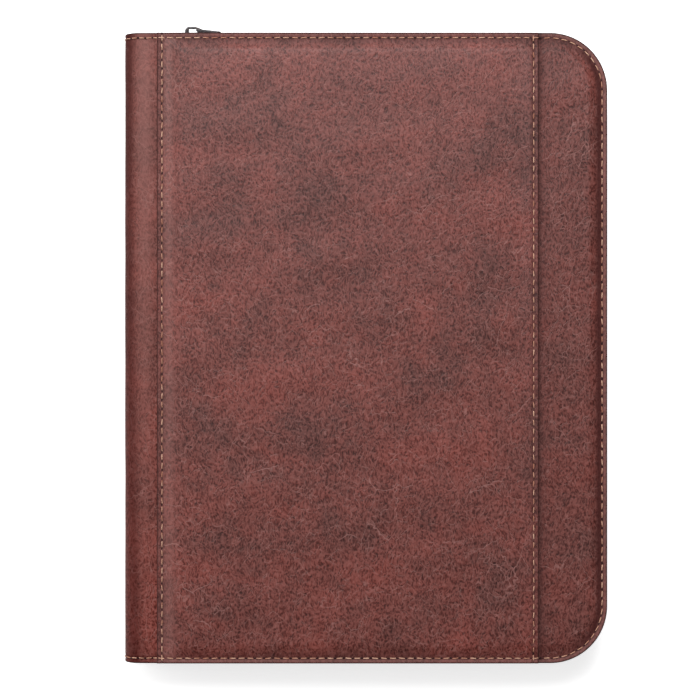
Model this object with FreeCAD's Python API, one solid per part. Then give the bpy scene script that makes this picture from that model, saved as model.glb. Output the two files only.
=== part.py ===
"""Zip-round bible: a bible held by two sleeves inside a padded leatherette case.

The case lies on its back cover. X runs from the spine to the fore edge, Y from the foot of the page to its
head and Z up through the closed case. The origin is the middle of the back cover's flat resting face.
All sizes are in millimetres.
"""

import FreeCAD
import Part

import math
import os

V = FreeCAD.Vector

# ---- the case in plan ---------------------------------------------------------------------------------
CASE_WIDTH = 219.4  # spine face to fore edge
CASE_HEIGHT = 286.0  # foot to head
CORNER_RADIUS = 26.0  # fore-edge corners of both covers
SPINE_BEND = 8.0  # outer radius where the leather turns from a cover into the spine
POCKET_LEFT = 15.2  # from the spine face to the pocket panel's folded left edge
POCKET_RIGHT = 188.1  # from the spine face to the pocket's open edge
HEM = 2.3  # from a folded panel edge to its row of stitches
EDGE_SEAM = 2.4  # from a cover's edge to the row of stitches round it

# ---- layers of a cover --------------------------------------------------------------------------------
SKIN = 1.2  # leatherette, with its turned edge
BOARD = 1.2  # stiffener of a cover
LINING = 0.6  # inner cloth
TAPE = 0.7  # zip tape
SPINE_BOARD = TAPE  # keeps the spine's lining level with the covers' linings
POCKET_SKIN = 0.8
POCKET_GAP = 0.1  # an empty pocket lies almost shut
FRONT_PAD_RISE = 1.2  # how far the foam lifts the front skin over the sewn margin
BACK_PAD_RISE = FRONT_PAD_RISE + POCKET_GAP + POCKET_SKIN  # both covers lie level when the case is open
SEWN_MARGIN = 4.6  # flat width outside the padding
PAD_SLOPE = 4.0  # width over which the padding rises
PAD_LEFT = POCKET_LEFT + HEM + 1.6  # the padding starts past the spine seam
BOARD_GAP = 0.2  # between the board's edge and the zip tape's hem

# ---- the bible ----------------------------------------------------------------------------------------
BLOCK_THICK = 22.0  # all the pages together
BLOCK_HEIGHT = 256.0
BLOCK_IN_BEND = 0.8  # share of the bend's radius from the bible's spine to the pages' sewn edge
BLOCK_RIGHT = 201.0  # the pages' fore edge
PAGE_CORNER = 6.0
PAGE_GAP = 0.12  # between two groups of pages
PAGE_SET_BACK = 0.5  # the leaves that turn start this far from the main block's sewn edge
SECTIONS = 4  # sections of leaves in the half that turns over
LEAF = 0.3  # the loose leaf under them
SQUARE = 3.0  # how far the bible's cover stands past its pages
BIBLE_COVER = 1.4  # thickness of the bible's own cover
BIBLE_SPINE_GAP = 0.5  # between the case's spine lining and the bible's spine
ENDPAPER = 0.15
SLEEVE = 0.6
SLEEVE_LEFT = 118.0  # the sleeves cover the outer half of the bible's cover
SLIP = 0.2  # clearance of each layer that slides in a sleeve
RIBBON = (10.0, 0.22)  # width, thickness
RIBBON_TAIL = 11.0  # how far the ribbon hangs past the pages' foot
RIBBON_PLACE = 0.3  # share of the page's width from its sewn edge to the ribbon
MULL = (0.5, 20.0)  # thickness of the cloth glued on the pages' back, and how far it stops from head and foot
HEADBAND = 1.3  # radius of the woven band at each end of the pages' back

# ---- the zip ------------------------------------------------------------------------------------------
TAPE_SET_IN = 1.2  # the zip wall's outer face, in from the covers' edge
TAPE_HEM = 6.3  # the hem sewn into a cover reaches this far in
TAPE_LEFT = 16.0  # both tapes end here, from the spine face
CHAIN_GAP = 1.0  # between the two rows of coils, where the slider's post runs
COIL = (1.8, 2.8)  # how far a row of coils stands out, and its width
COIL_LEFT = 24.4
STOP_LENGTH = 2.0
SLIDER_LENGTH = 12.0
SLIDER_REST = 30.8  # middle of the parked slider, from the spine face
RUN = 0.2  # running clearance of the slider on the coils and the tape
SLIDER_PLATE = 0.9
SLIDER_FLANGE = 1.1
POST = (2.2, 0.6)  # length, width
BRIDGE = (8.0, 2.4, 3.1)  # length, width, height
BRIDGE_FOOT = 1.8  # the foot at the spine side
BRIDGE_WALL = 0.9
BRIDGE_BEVEL = 1.3  # corner cut off above the foot
BRIDGE_SLOPE = (3.0, 1.2)  # the bridge's back slopes down over this length, by this height
PULL_WIDTH = 6.4
PULL_THICK = 1.1
PULL_LENGTH = 10.8  # from its bar to its tip
PULL_TIP = 1.8  # radius of the tip's corners
PULL_LEAN = 6.0  # degrees that the resting pull slopes towards the zip
PULL_BAR = 0.5  # radius of the bar that turns inside the bridge
PULL_BAR_PLACE = (2.3, 1.25)  # the bar's middle, in from the bridge's far end and up from the slider's plate
PULL_EYE = (3.0, 6.2)  # width, and length from the bar
THREAD = (0.5, 0.3)  # width, and how far it stands proud

# ---- levels worked out from the layers ----------------------------------------------------------------
SEWN_THICK = SKIN + TAPE + LINING
BIBLE_SPINE_LEFT = SEWN_THICK + BIBLE_SPINE_GAP
BIBLE_BEND = SPINE_BEND - BIBLE_SPINE_LEFT  # outer radius, with the same middle as the case's own bend
BLOCK_LEFT = BIBLE_SPINE_LEFT + BLOCK_IN_BEND * BIBLE_BEND
COVER_STACK = SLIP + BIBLE_COVER + SLIP + SLEEVE + SLIP  # from a lining to the pages
BACK_MARGIN = BACK_PAD_RISE
BLOCK_BOTTOM = BACK_MARGIN + SEWN_THICK + COVER_STACK
BLOCK_TOP = BLOCK_BOTTOM + BLOCK_THICK
FRONT_MARGIN = BLOCK_TOP + COVER_STACK + SEWN_THICK
CASE_THICK = FRONT_MARGIN + BACK_PAD_RISE
ZIP_LEVEL = (BACK_MARGIN + FRONT_MARGIN) / 2
MAIN_TOP = BLOCK_BOTTOM + BLOCK_THICK / 2  # the bible opens at its middle, so that both halves lie level
RIBBON_SPACE = RIBBON[1] + 2 * PAGE_GAP
SECTION = (BLOCK_TOP - MAIN_TOP - RIBBON_SPACE - LEAF - SECTIONS * PAGE_GAP) / SECTIONS
HALF = CASE_HEIGHT / 2
EPSILON = 1.0  # how far a cutting tool stands past what it cuts


def at(distance):
    """X of a place that is this far from the case's spine face."""
    return distance - CASE_WIDTH / 2


# ---- helpers ------------------------------------------------------------------------------------------
def box(x0, x1, y0, y1, z0, z1):
    return Part.makeBox(x1 - x0, y1 - y0, z1 - z0, V(x0, y0, z0))


def plan(left, right, half, radius, z):
    """Outline square at the spine side and rounded at the fore edge."""
    a, b = at(left), at(right)
    d = radius * (1 - math.sqrt(0.5))
    corners = [V(a, -half, z), V(b - radius, -half, z), V(b, -half + radius, z)]
    corners += [V(b, half - radius, z), V(b - radius, half, z), V(a, half, z)]
    low = Part.Arc(corners[1], V(b - d, -half + d, z), corners[2])
    high = Part.Arc(corners[3], V(b - d, half - d, z), corners[4])
    edges = [Part.LineSegment(corners[0], corners[1]), low, Part.LineSegment(corners[2], corners[3])]
    edges += [high, Part.LineSegment(corners[4], corners[5]), Part.LineSegment(corners[5], corners[0])]
    return Part.Wire([e.toShape() for e in edges])


def outline(inset, left, z):
    """The case's outline, taken in by inset all round, starting at left."""
    return plan(left, CASE_WIDTH - inset, HALF - inset, CORNER_RADIUS - inset, z)


def slab(wire, thick):
    return Part.Face(wire).extrude(V(0, 0, thick))


class Side:
    """One cover. Depth is measured inwards from the outer face of its sewn margin."""

    def __init__(self, margin, inwards):
        self.margin, self.inwards = margin, inwards

    def level(self, depth):
        return self.margin + self.inwards * depth

    def layer(self, inset, left, top, bottom):
        """A flat layer with the case's outline between two depths."""
        z = [self.level(top), self.level(bottom)]
        return slab(outline(inset, left, min(z)), max(z) - min(z))

    def panel(self, wire_at, top, bottom):
        z = [self.level(top), self.level(bottom)]
        return slab(wire_at(min(z)), max(z) - min(z))

    def mound(self, rise, depth, slope_share=1.0):
        """The padding's sloping form, from its foot at depth to its top, rise further out."""
        inset = SEWN_MARGIN + PAD_SLOPE * slope_share
        foot = outline(SEWN_MARGIN, PAD_LEFT, self.level(depth))
        top = outline(inset, PAD_LEFT + PAD_SLOPE * slope_share, self.level(depth - rise))
        return Part.makeLoft([foot, top], True, True)


BACK = Side(BACK_MARGIN, 1)
FRONT = Side(FRONT_MARGIN, -1)


def strip_round(side, near, far, left, top, bottom):
    """A strip along head, fore edge and foot, between two insets from the case's edge."""
    ring = side.layer(near, left, top, bottom).cut(side.layer(far, left - EPSILON, top, bottom))
    return ring


def bend(centre_x, centre_z, outer, inner, upwards, half):
    """A quarter of a tube along Y that turns from vertical at the spine to level at a cover."""
    s = 1 if upwards else -1
    m = math.sqrt(0.5)

    def on(radius, across, along):
        return V(at(centre_x) - radius * across, -half, centre_z + s * radius * along)

    outer_arc = Part.Arc(on(outer, 1, 0), on(outer, m, m), on(outer, 0, 1))
    inner_arc = Part.Arc(on(inner, 0, 1), on(inner, m, m), on(inner, 1, 0))
    upper_end = Part.LineSegment(on(outer, 0, 1), on(inner, 0, 1))
    lower_end = Part.LineSegment(on(inner, 1, 0), on(outer, 1, 0))
    edges = [outer_arc, upper_end, inner_arc, lower_end]
    wire = Part.Wire([e.toShape() for e in edges])
    return Part.Face(wire).extrude(V(0, 2 * half, 0))


# ---- covers of the case -------------------------------------------------------------------------------
def cover_skin(side, rise):
    """Leatherette: a sewn margin with the padding's form pressed out of it."""
    sheet = side.layer(0, SPINE_BEND, 0, SKIN)
    return sheet.fuse(side.mound(rise, 0)).cut(side.mound(rise, SKIN)).removeSplitter()


def cover_board(side):
    inset = TAPE_HEM + BOARD_GAP
    return side.layer(inset, PAD_LEFT + inset - SEWN_MARGIN, SKIN + TAPE - BOARD, SKIN + TAPE)


def cover_padding(side, rise):
    """Foam between the skin's pressed-out form and the board."""
    foam = side.mound(rise, SKIN)
    above_board = side.layer(-EPSILON, 0, SKIN + TAPE - BOARD, SKIN + EPSILON)
    return foam.cut(above_board)


def cover_lining(side):
    return side.layer(TAPE_SET_IN + TAPE + BOARD_GAP, SPINE_BEND, SKIN + TAPE, SEWN_THICK)


def sleeve(side):
    """A shallow pocket, open towards the spine, that the bible's cover slides into."""
    depth = SEWN_THICK + SLIP + BIBLE_COVER + SLIP + SLEEVE
    inset = TAPE_SET_IN + TAPE + BOARD_GAP
    outside = side.layer(inset, SLEEVE_LEFT, SEWN_THICK, depth)
    hollow = side.layer(inset + SLEEVE, SLEEVE_LEFT - EPSILON, SEWN_THICK, depth - SLEEVE)
    return outside.cut(hollow)


def pocket_panel():
    """The front pocket: folded at both long edges, sewn on three sides and open to the fore edge."""
    span = box(at(POCKET_LEFT), at(POCKET_RIGHT), -HALF, HALF, FRONT_MARGIN, CASE_THICK + EPSILON)
    lift = -POCKET_GAP
    sheet = FRONT.layer(0, SPINE_BEND, lift - POCKET_SKIN, lift)
    form = sheet.fuse(FRONT.mound(FRONT_PAD_RISE, lift - POCKET_SKIN))
    return form.common(span).cut(FRONT.mound(FRONT_PAD_RISE, lift)).removeSplitter()


# ---- spine of the case --------------------------------------------------------------------------------
BEND_LOW = BACK_MARGIN + SPINE_BEND
BEND_HIGH = FRONT_MARGIN - SPINE_BEND
LINING_HALF = HALF - TAPE_SET_IN


def spine_layer(depth, thick, half):
    return box(at(depth), at(depth + thick), -half, half, BEND_LOW, BEND_HIGH)


def fold(upwards, depth, thick, half):
    z = BEND_HIGH if upwards else BEND_LOW
    return bend(SPINE_BEND, z, SPINE_BEND - depth, SPINE_BEND - depth - thick, upwards, half)


# ---- threads ------------------------------------------------------------------------------------------
def edge_thread(side, level, left, right):
    """The row round a cover's edge, on a surface at this depth, between two distances from the spine."""
    width, proud = THREAD
    ring = strip_round(side, EDGE_SEAM - width / 2, EDGE_SEAM + width / 2, left, level - proud, level)
    window = box(at(left), at(right), -HALF, HALF, -EPSILON, CASE_THICK + EPSILON)
    return ring.common(window)


def long_thread(side, level, place):
    """A straight row along Y, between the two rows round the cover's edge."""
    width, proud = THREAD
    half = HALF - EDGE_SEAM - width
    z = sorted([side.level(level), side.level(level - proud)])
    return box(at(place - width / 2), at(place + width / 2), -half, half, z[0], z[1])


def spine_end_threads():
    width, proud = THREAD
    rows = []
    for end in (-1, 1):
        y = end * (HALF - EDGE_SEAM)
        rows.append(box(at(-proud), at(0), y - width / 2, y + width / 2, BEND_LOW, BEND_HIGH))
    return Part.makeCompound(rows)


# ---- zip ----------------------------------------------------------------------------------------------
def zip_tape(side):
    """A hem sewn between skin and lining, and the wall that it turns into, which reaches the coils."""
    wall_end = (FRONT_MARGIN - BACK_MARGIN) / 2 - CHAIN_GAP / 2
    hem = strip_round(side, TAPE_SET_IN, TAPE_HEM, TAPE_LEFT, SKIN, SKIN + TAPE)
    wall = strip_round(side, TAPE_SET_IN, TAPE_SET_IN + TAPE, TAPE_LEFT, SKIN + TAPE, wall_end)
    return Part.makeCompound([hem, wall])


def zip_coil(side):
    stands_out, width = COIL
    end = (FRONT_MARGIN - BACK_MARGIN) / 2 - CHAIN_GAP / 2
    return strip_round(side, TAPE_SET_IN - stands_out, TAPE_SET_IN, COIL_LEFT, end - width, end)


def zip_stops(side):
    """Two clips, one at each end of a row of coils, pinched round the tape's edge."""
    stands_out, width = COIL
    end = (FRONT_MARGIN - BACK_MARGIN) / 2 - CHAIN_GAP / 2
    z = sorted([side.level(end), side.level(end - width)])
    wall = TAPE_SET_IN + TAPE
    clips = []
    for head in (-1, 1):
        y = sorted([head * (HALF - wall - LINING), head * (HALF - TAPE_SET_IN + stands_out)])
        clip = box(at(COIL_LEFT - STOP_LENGTH), at(COIL_LEFT), y[0], y[1], z[0], z[1])
        slot = sorted([head * (HALF - wall), head * (HALF - TAPE_SET_IN)])
        clips.append(clip.cut(box(at(0), at(CASE_WIDTH), slot[0], slot[1], z[0] - EPSILON, z[1] + EPSILON)))
    return clips


def zip_stop_solids(side):
    return Part.makeCompound([solid for clip in zip_stops(side) for solid in clip.Solids])


COIL_FACE = HALF - TAPE_SET_IN + COIL[0]  # Y of the coils' outer face on the head side
PLATE_IN = COIL_FACE + RUN
PLATE_OUT = PLATE_IN + SLIDER_PLATE


def slider_body():
    """Two plates joined by a post, with flanges that hold both rows of coils."""
    reach = CHAIN_GAP / 2 + COIL[1] + RUN
    x0, x1 = at(SLIDER_REST - SLIDER_LENGTH / 2), at(SLIDER_REST + SLIDER_LENGTH / 2)
    wide = reach + SLIDER_FLANGE
    outer = box(x0, x1, PLATE_IN, PLATE_OUT, ZIP_LEVEL - wide, ZIP_LEVEL + wide)
    outer = outer.makeFillet(SLIDER_FLANGE, [e for e in outer.Edges if along_y(e)])
    tape_out = HALF - TAPE_SET_IN + RUN
    shape = outer
    for s in (-1, 1):
        z = sorted([ZIP_LEVEL + s * reach, ZIP_LEVEL + s * wide])
        shape = shape.fuse(box(x0 + SLIDER_FLANGE, x1 - SLIDER_FLANGE, tape_out, PLATE_IN, z[0], z[1]))
    inner_out = HALF - TAPE_SET_IN - TAPE - RUN
    inner = box(x0, x1, inner_out - SLIDER_PLATE, inner_out, ZIP_LEVEL - reach, ZIP_LEVEL + reach)
    inner = inner.makeFillet(SLIDER_FLANGE, [e for e in inner.Edges if along_y(e)])
    length, width = POST
    post_x = x0 + SLIDER_FLANGE
    post = box(post_x, post_x + length, inner_out, PLATE_IN, ZIP_LEVEL - width / 2, ZIP_LEVEL + width / 2)
    return shape.fuse(inner).fuse(post).removeSplitter()


def along_y(edge):
    a, b = (v.Point for v in edge.Vertexes)
    return abs(a.x - b.x) + abs(a.z - b.z) < 1e-6


BRIDGE_END = SLIDER_REST + BRIDGE[0] / 2
BAR_X = BRIDGE_END - PULL_BAR_PLACE[0]
BAR_Y = PLATE_OUT + PULL_BAR_PLACE[1]


def slider_bridge():
    """An arch on the slider with a sloping back, which holds the pull's bar."""
    length, width, height = BRIDGE
    slope, drop = BRIDGE_SLOPE
    left, right, top = BRIDGE_END - length, BRIDGE_END, PLATE_OUT + height
    outer = [(left, PLATE_OUT), (left, top - BRIDGE_BEVEL), (left + BRIDGE_BEVEL, top)]
    outer += [(right - slope, top), (right, top - drop), (right, PLATE_OUT)]
    inner_left, inner_right, inner_top = left + BRIDGE_FOOT, right - BRIDGE_WALL, top - BRIDGE_WALL
    inner = [(inner_left, PLATE_OUT - EPSILON), (inner_left, inner_top), (right - slope, inner_top)]
    inner_drop = drop * (slope - BRIDGE_WALL) / slope
    inner += [(inner_right, inner_top - inner_drop), (inner_right, PLATE_OUT - EPSILON)]
    arch = prism(outer, ZIP_LEVEL - width / 2, width)
    return arch.cut(prism(inner, ZIP_LEVEL - width, 2 * width))


def prism(points, z, height):
    """A straight-sided outline, given by distances from the spine face and Y, raised along Z."""
    corners = [V(at(x), y, z) for x, y in points]
    return Part.Face(Part.makePolygon(corners + corners[:1])).extrude(V(0, 0, height))


def zip_pull():
    """A flat pull with an eye: its bar turns in the bridge and its tip leans on the zip."""
    z0 = ZIP_LEVEL - PULL_WIDTH / 2
    x, y = at(BAR_X), BAR_Y
    blade = box(x, x + PULL_LENGTH, y - PULL_THICK / 2, y + PULL_THICK / 2, z0, z0 + PULL_WIDTH)
    tip_corners = [e for e in blade.Edges if along_y(e) and e.Vertexes[0].Point.x > x + PULL_LENGTH / 2]
    blade = blade.makeFillet(PULL_TIP, tip_corners)
    eye_width, eye_length = PULL_EYE
    z_eye = ZIP_LEVEL - eye_width / 2
    eye = box(x - EPSILON, x + eye_length, y - PULL_THICK, y + PULL_THICK, z_eye, z_eye + eye_width)
    bar = Part.makeCylinder(PULL_BAR, PULL_WIDTH, V(x, y, z0), V(0, 0, 1))
    pull = blade.cut(eye).fuse(bar).removeSplitter()
    pull.rotate(V(x, y, 0), V(0, 0, 1), -PULL_LEAN)
    return pull


# ---- bible --------------------------------------------------------------------------------------------
BIBLE_BEND_X = BIBLE_SPINE_LEFT + BIBLE_BEND
BIBLE_HALF = BLOCK_HEIGHT / 2 + SQUARE
BIBLE_DEPTH = SEWN_THICK + SLIP  # from a cover's margin to the bible's cover


def pages(left, z0, z1):
    """A pack of leaves with rounded fore-edge corners."""
    return slab(plan(left, BLOCK_RIGHT, BLOCK_HEIGHT / 2, PAGE_CORNER, z0), z1 - z0)


def board_outline(z):
    return plan(BIBLE_BEND_X, BLOCK_RIGHT + SQUARE, BIBLE_HALF, PAGE_CORNER + SQUARE, z)


def bible_board(side):
    return side.panel(board_outline, BIBLE_DEPTH, BIBLE_DEPTH + BIBLE_COVER)


def bible_bend(side, upwards):
    z = side.level(BIBLE_DEPTH + BIBLE_BEND)
    return bend(BIBLE_BEND_X, z, BIBLE_BEND, BIBLE_BEND - BIBLE_COVER, upwards, BIBLE_HALF)


def bible_spine():
    z0, z1 = BACK.level(BIBLE_DEPTH + BIBLE_BEND), FRONT.level(BIBLE_DEPTH + BIBLE_BEND)
    x0 = at(BIBLE_SPINE_LEFT)
    return box(x0, x0 + BIBLE_COVER, -BIBLE_HALF, BIBLE_HALF, z0, z1)


def endpaper_outline(z):
    return plan(BIBLE_BEND_X + SQUARE, BLOCK_RIGHT, BLOCK_HEIGHT / 2, PAGE_CORNER, z)


def endpaper(side):
    """Pasted on the inside of the bible's cover."""
    depth = BIBLE_DEPTH + BIBLE_COVER
    return side.panel(endpaper_outline, depth, depth + ENDPAPER)


def spine_cloth():
    thick, stop = MULL
    half = BLOCK_HEIGHT / 2 - stop
    return box(at(BLOCK_LEFT - thick), at(BLOCK_LEFT), -half, half, BLOCK_BOTTOM + thick, MAIN_TOP - thick)


def headband(end):
    """A half-round band across the pages' back."""
    y = end * BLOCK_HEIGHT / 2
    foot = V(at(BLOCK_LEFT), y, BLOCK_BOTTOM)
    rod = Part.makeCylinder(HEADBAND, MAIN_TOP - BLOCK_BOTTOM - HEADBAND, foot, V(0, 0, 1))
    behind = box(at(BLOCK_LEFT), at(CASE_WIDTH), -HALF, HALF, 0, CASE_THICK)
    inside = behind.common(box(at(0), at(CASE_WIDTH), -BLOCK_HEIGHT / 2, BLOCK_HEIGHT / 2, 0, CASE_THICK))
    return rod.cut(inside)


def ribbon():
    """A marker laid down the open page, with its tail past the foot."""
    width, thick = RIBBON
    x = at(BLOCK_LEFT + (BLOCK_RIGHT - BLOCK_LEFT) * RIBBON_PLACE)
    z = MAIN_TOP + PAGE_GAP
    half = BLOCK_HEIGHT / 2
    return box(x, x + width, -half - RIBBON_TAIL, half, z, z + thick)


def page_groups():
    """The leaves that turn, lowest first: a loose leaf, then the sections down to the first."""
    z = MAIN_TOP + RIBBON_SPACE
    thicknesses = [("loose_leaf", LEAF)]
    thicknesses += [(f"page_section_{n}", SECTION) for n in range(SECTIONS, 0, -1)]
    made = {}
    for name, thick in thicknesses:
        made[name] = pages(BLOCK_LEFT + PAGE_SET_BACK, z, z + thick)
        z += thick + PAGE_GAP
    return made


def build():
    """Every piece by the name of its node."""
    on_pocket = -POCKET_GAP - POCKET_SKIN
    front_thread = [
        edge_thread(FRONT, 0, POCKET_RIGHT, CASE_WIDTH),
        edge_thread(FRONT, on_pocket, POCKET_LEFT, POCKET_RIGHT),
    ]
    made = {
        "back_outer_panel": cover_skin(BACK, BACK_PAD_RISE),
        "back_padding": cover_padding(BACK, BACK_PAD_RISE),
        "back_board": cover_board(BACK),
        "back_lining": cover_lining(BACK),
        "back_sleeve": sleeve(BACK),
        "back_edge_thread": edge_thread(BACK, 0, SPINE_BEND, CASE_WIDTH),
        "back_spine_seam_thread": long_thread(BACK, 0, POCKET_LEFT + HEM),
        "front_outer_panel": cover_skin(FRONT, FRONT_PAD_RISE),
        "front_pocket_panel": pocket_panel(),
        "front_padding": cover_padding(FRONT, FRONT_PAD_RISE),
        "front_board": cover_board(FRONT),
        "front_lining": cover_lining(FRONT),
        "front_sleeve": sleeve(FRONT),
        "front_edge_thread": Part.makeCompound([s for t in front_thread for s in t.Solids]),
        "front_spine_seam_thread": long_thread(FRONT, on_pocket, POCKET_LEFT + HEM),
        "pocket_edge_thread": long_thread(FRONT, on_pocket - FRONT_PAD_RISE, POCKET_RIGHT - HEM),
        "spine_outer_panel": spine_layer(0, SKIN, HALF),
        "spine_board": spine_layer(SKIN, SPINE_BOARD, HALF - TAPE_HEM),
        "spine_lining": spine_layer(SKIN + SPINE_BOARD, LINING, LINING_HALF),
        "spine_end_threads": spine_end_threads(),
        "back_fold": fold(False, 0, SKIN, HALF),
        "front_fold": fold(True, 0, SKIN, HALF),
        "back_fold_lining": fold(False, SKIN + TAPE, LINING, LINING_HALF),
        "front_fold_lining": fold(True, SKIN + TAPE, LINING, LINING_HALF),
        "zip_tape_back": zip_tape(BACK),
        "zip_tape_front": zip_tape(FRONT),
        "zip_coil_back": zip_coil(BACK),
        "zip_coil_front": zip_coil(FRONT),
        "zip_stops_back": zip_stop_solids(BACK),
        "zip_stops_front": zip_stop_solids(FRONT),
        "zip_slider": slider_body(),
        "zip_slider_bridge": slider_bridge(),
        "zip_pull": zip_pull(),
        "bible_back_board": bible_board(BACK),
        "bible_front_board": bible_board(FRONT),
        "bible_spine": bible_spine(),
        "bible_back_joint": bible_bend(BACK, False),
        "bible_front_joint": bible_bend(FRONT, True),
        "back_endpaper": endpaper(BACK),
        "front_endpaper": endpaper(FRONT),
        "text_block": pages(BLOCK_LEFT, BLOCK_BOTTOM, MAIN_TOP),
        "spine_cloth": spine_cloth(),
        "headband": headband(1),
        "tailband": headband(-1),
        "ribbon_marker": ribbon(),
    }
    made.update(page_groups())
    return made


def main():
    os.makedirs("parts", exist_ok=True)
    for name, shape in build().items():
        if not shape.isValid() or not shape.Solids:
            raise ValueError(f"{name} is not a sound solid")
        shape.exportStep(f"parts/{name}.step")
        b = shape.BoundBox
        place = f"x {b.XMin:8.2f} {b.XMax:8.2f}  y {b.YMin:8.2f} {b.YMax:8.2f}  z {b.ZMin:6.2f} {b.ZMax:6.2f}"
        print(f"{name:26s} solids {len(shape.Solids):2d} volume {shape.Volume:10.1f}  {place}")
    print(f"case thickness {CASE_THICK:.2f}, zip level {ZIP_LEVEL:.2f}, bar {at(BAR_X):.2f} {BAR_Y:.2f}")


main()
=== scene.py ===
"""Looks of a bible in its padded zip-round case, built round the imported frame.

The frame holds the sizes, places and joints. This file gives each piece its leather, cloth, thread, paper and
metal. The case lies on its back cover: X runs from the spine to the fore edge, Y from foot to head, Z up.
"""

import math

import bmesh
import bpy
import numpy as np
from bpy.props import FloatProperty, FloatVectorProperty, IntProperty, PointerProperty
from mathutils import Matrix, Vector


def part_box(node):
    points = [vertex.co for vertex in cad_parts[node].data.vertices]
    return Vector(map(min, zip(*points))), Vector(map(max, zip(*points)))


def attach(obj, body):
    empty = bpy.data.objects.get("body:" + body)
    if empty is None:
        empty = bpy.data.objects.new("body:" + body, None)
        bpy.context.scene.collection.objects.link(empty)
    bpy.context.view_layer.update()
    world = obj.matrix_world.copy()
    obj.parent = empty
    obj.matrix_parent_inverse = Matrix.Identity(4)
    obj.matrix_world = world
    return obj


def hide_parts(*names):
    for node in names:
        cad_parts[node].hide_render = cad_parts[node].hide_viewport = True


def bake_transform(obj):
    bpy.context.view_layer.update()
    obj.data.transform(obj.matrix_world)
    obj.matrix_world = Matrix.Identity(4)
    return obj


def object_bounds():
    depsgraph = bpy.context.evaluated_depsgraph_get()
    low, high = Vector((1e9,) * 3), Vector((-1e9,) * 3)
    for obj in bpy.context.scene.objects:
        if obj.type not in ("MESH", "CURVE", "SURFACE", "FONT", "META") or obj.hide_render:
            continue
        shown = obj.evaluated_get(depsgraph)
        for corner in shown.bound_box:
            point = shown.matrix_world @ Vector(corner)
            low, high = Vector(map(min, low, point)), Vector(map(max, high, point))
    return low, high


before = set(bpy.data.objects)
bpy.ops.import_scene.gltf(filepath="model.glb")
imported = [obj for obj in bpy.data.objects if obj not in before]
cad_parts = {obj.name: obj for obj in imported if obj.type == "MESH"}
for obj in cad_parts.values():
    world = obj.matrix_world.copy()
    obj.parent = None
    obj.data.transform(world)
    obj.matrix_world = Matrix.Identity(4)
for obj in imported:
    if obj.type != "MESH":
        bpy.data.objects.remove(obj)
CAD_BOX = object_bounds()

bl_info = {
    "name": "Zip-round bible case",
    "version": (1, 0, 0),
    "blender": (4, 5, 0),
    "location": "3D View > Sidebar > Bible Case",
    "description": "Leather, stitching, zip and pages of a bible in its padded case",
    "category": "Object",
}

MM = 0.001

# ---- sizes and tints that stay as they are ----
SAME_POINT = 1e-6  # points closer than this are one
EDGE_REACH, EDGE_STEP = 9 * MM, 0.62 * MM  # how far in from an edge the mesh is fine, and how fine
RIM_WIDTH = 0.55 * MM  # the dark line along a turned edge
SWELL_REACH = 26 * MM  # how far in the padding goes on rising
SEAM_HALF_WIDTH = 0.75 * MM
BACK_LAP = 0.5 * MM  # the back cover's leather lies over the spine's by this much
BOARD_HOLLOW = 0.55 * MM  # room under the leather for the board and the zip's hem
TAPE_THICK, COIL_DEPTH = 0.7 * MM, 1.8 * MM
PAGE_CORNER, STRIP_STEP = 6 * MM, 12 * MM
STITCH_STEPS, STITCH_SWAY = 8, 0.11
HOLE_SIDES, HOLE_SIZE = 8, (0.74 * MM, 0.48 * MM)
ROUND_STEPS = 30  # steps of a row round one corner
SOFT_FOLD = 60  # degrees: leather and thread look smooth over folds gentler than this
FLOOR_REACH, FILM_WIDTH = 4.0, 36.0
SOILED_THREAD, BARE_ZINC = (0.30, 0.10, 0.055, 1), (0.30, 0.25, 0.22, 1)
LINING_TINT = (0.030, 0.018, 0.016)

# ---- places taken from the frame ----
SPINE_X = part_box("spine_outer_panel")[0].x
FOLD_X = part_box("front_outer_panel")[0].x
FORE_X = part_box("front_outer_panel")[1].x
HALF_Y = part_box("front_outer_panel")[1].y
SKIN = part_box("spine_outer_panel")[1].x - SPINE_X
ZIP_Z = (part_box("zip_coil_back")[1].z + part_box("zip_coil_front")[0].z) / 2
POCKET_LEFT, POCKET_RIGHT = (corner.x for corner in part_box("front_pocket_panel"))
LEFT_ROW_X = sum(corner.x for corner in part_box("front_spine_seam_thread")) / 2
POCKET_ROW_X = sum(corner.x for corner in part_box("pocket_edge_thread")) / 2
SEAM_INSET = HALF_Y - (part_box("spine_end_threads")[1].y - 0.25 * MM)
PAD_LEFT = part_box("front_padding")[0].x
BENEATH_POCKET = POCKET_LEFT + 0.8 * MM  # the spine leather and the front cover's leather meet here, unseen


class Cover:
    """One cover of the case: the levels of its leather, and which way is out."""

    def __init__(self, side, out):
        panel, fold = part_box(f"{side}_outer_panel"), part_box(f"{side}_fold")
        self.side, self.out, self.body = side, out, f"{side}_cover"
        self.margin = fold[1].z if out > 0 else fold[0].z
        self.crown = panel[1].z if out > 0 else panel[0].z
        self.under = panel[0].z if out > 0 else panel[1].z
        self.bend_z = fold[0].z if out > 0 else fold[1].z
        self.rise = abs(self.crown - self.margin)


FRONT, BACK = Cover("front", 1), Cover("back", -1)


# ---- what a user may change ----
def length(name, description, millimetres):
    return FloatProperty(name=name, description=description, default=millimetres * MM, unit="LENGTH")


def strength(name, description, value):
    return FloatProperty(name=name, description=description, default=value)


def colour(name, description, red, green, blue):
    return FloatVectorProperty(
        name=name, description=description, default=(red, green, blue, 1), size=4, subtype="COLOR", min=0, max=1
    )


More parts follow.
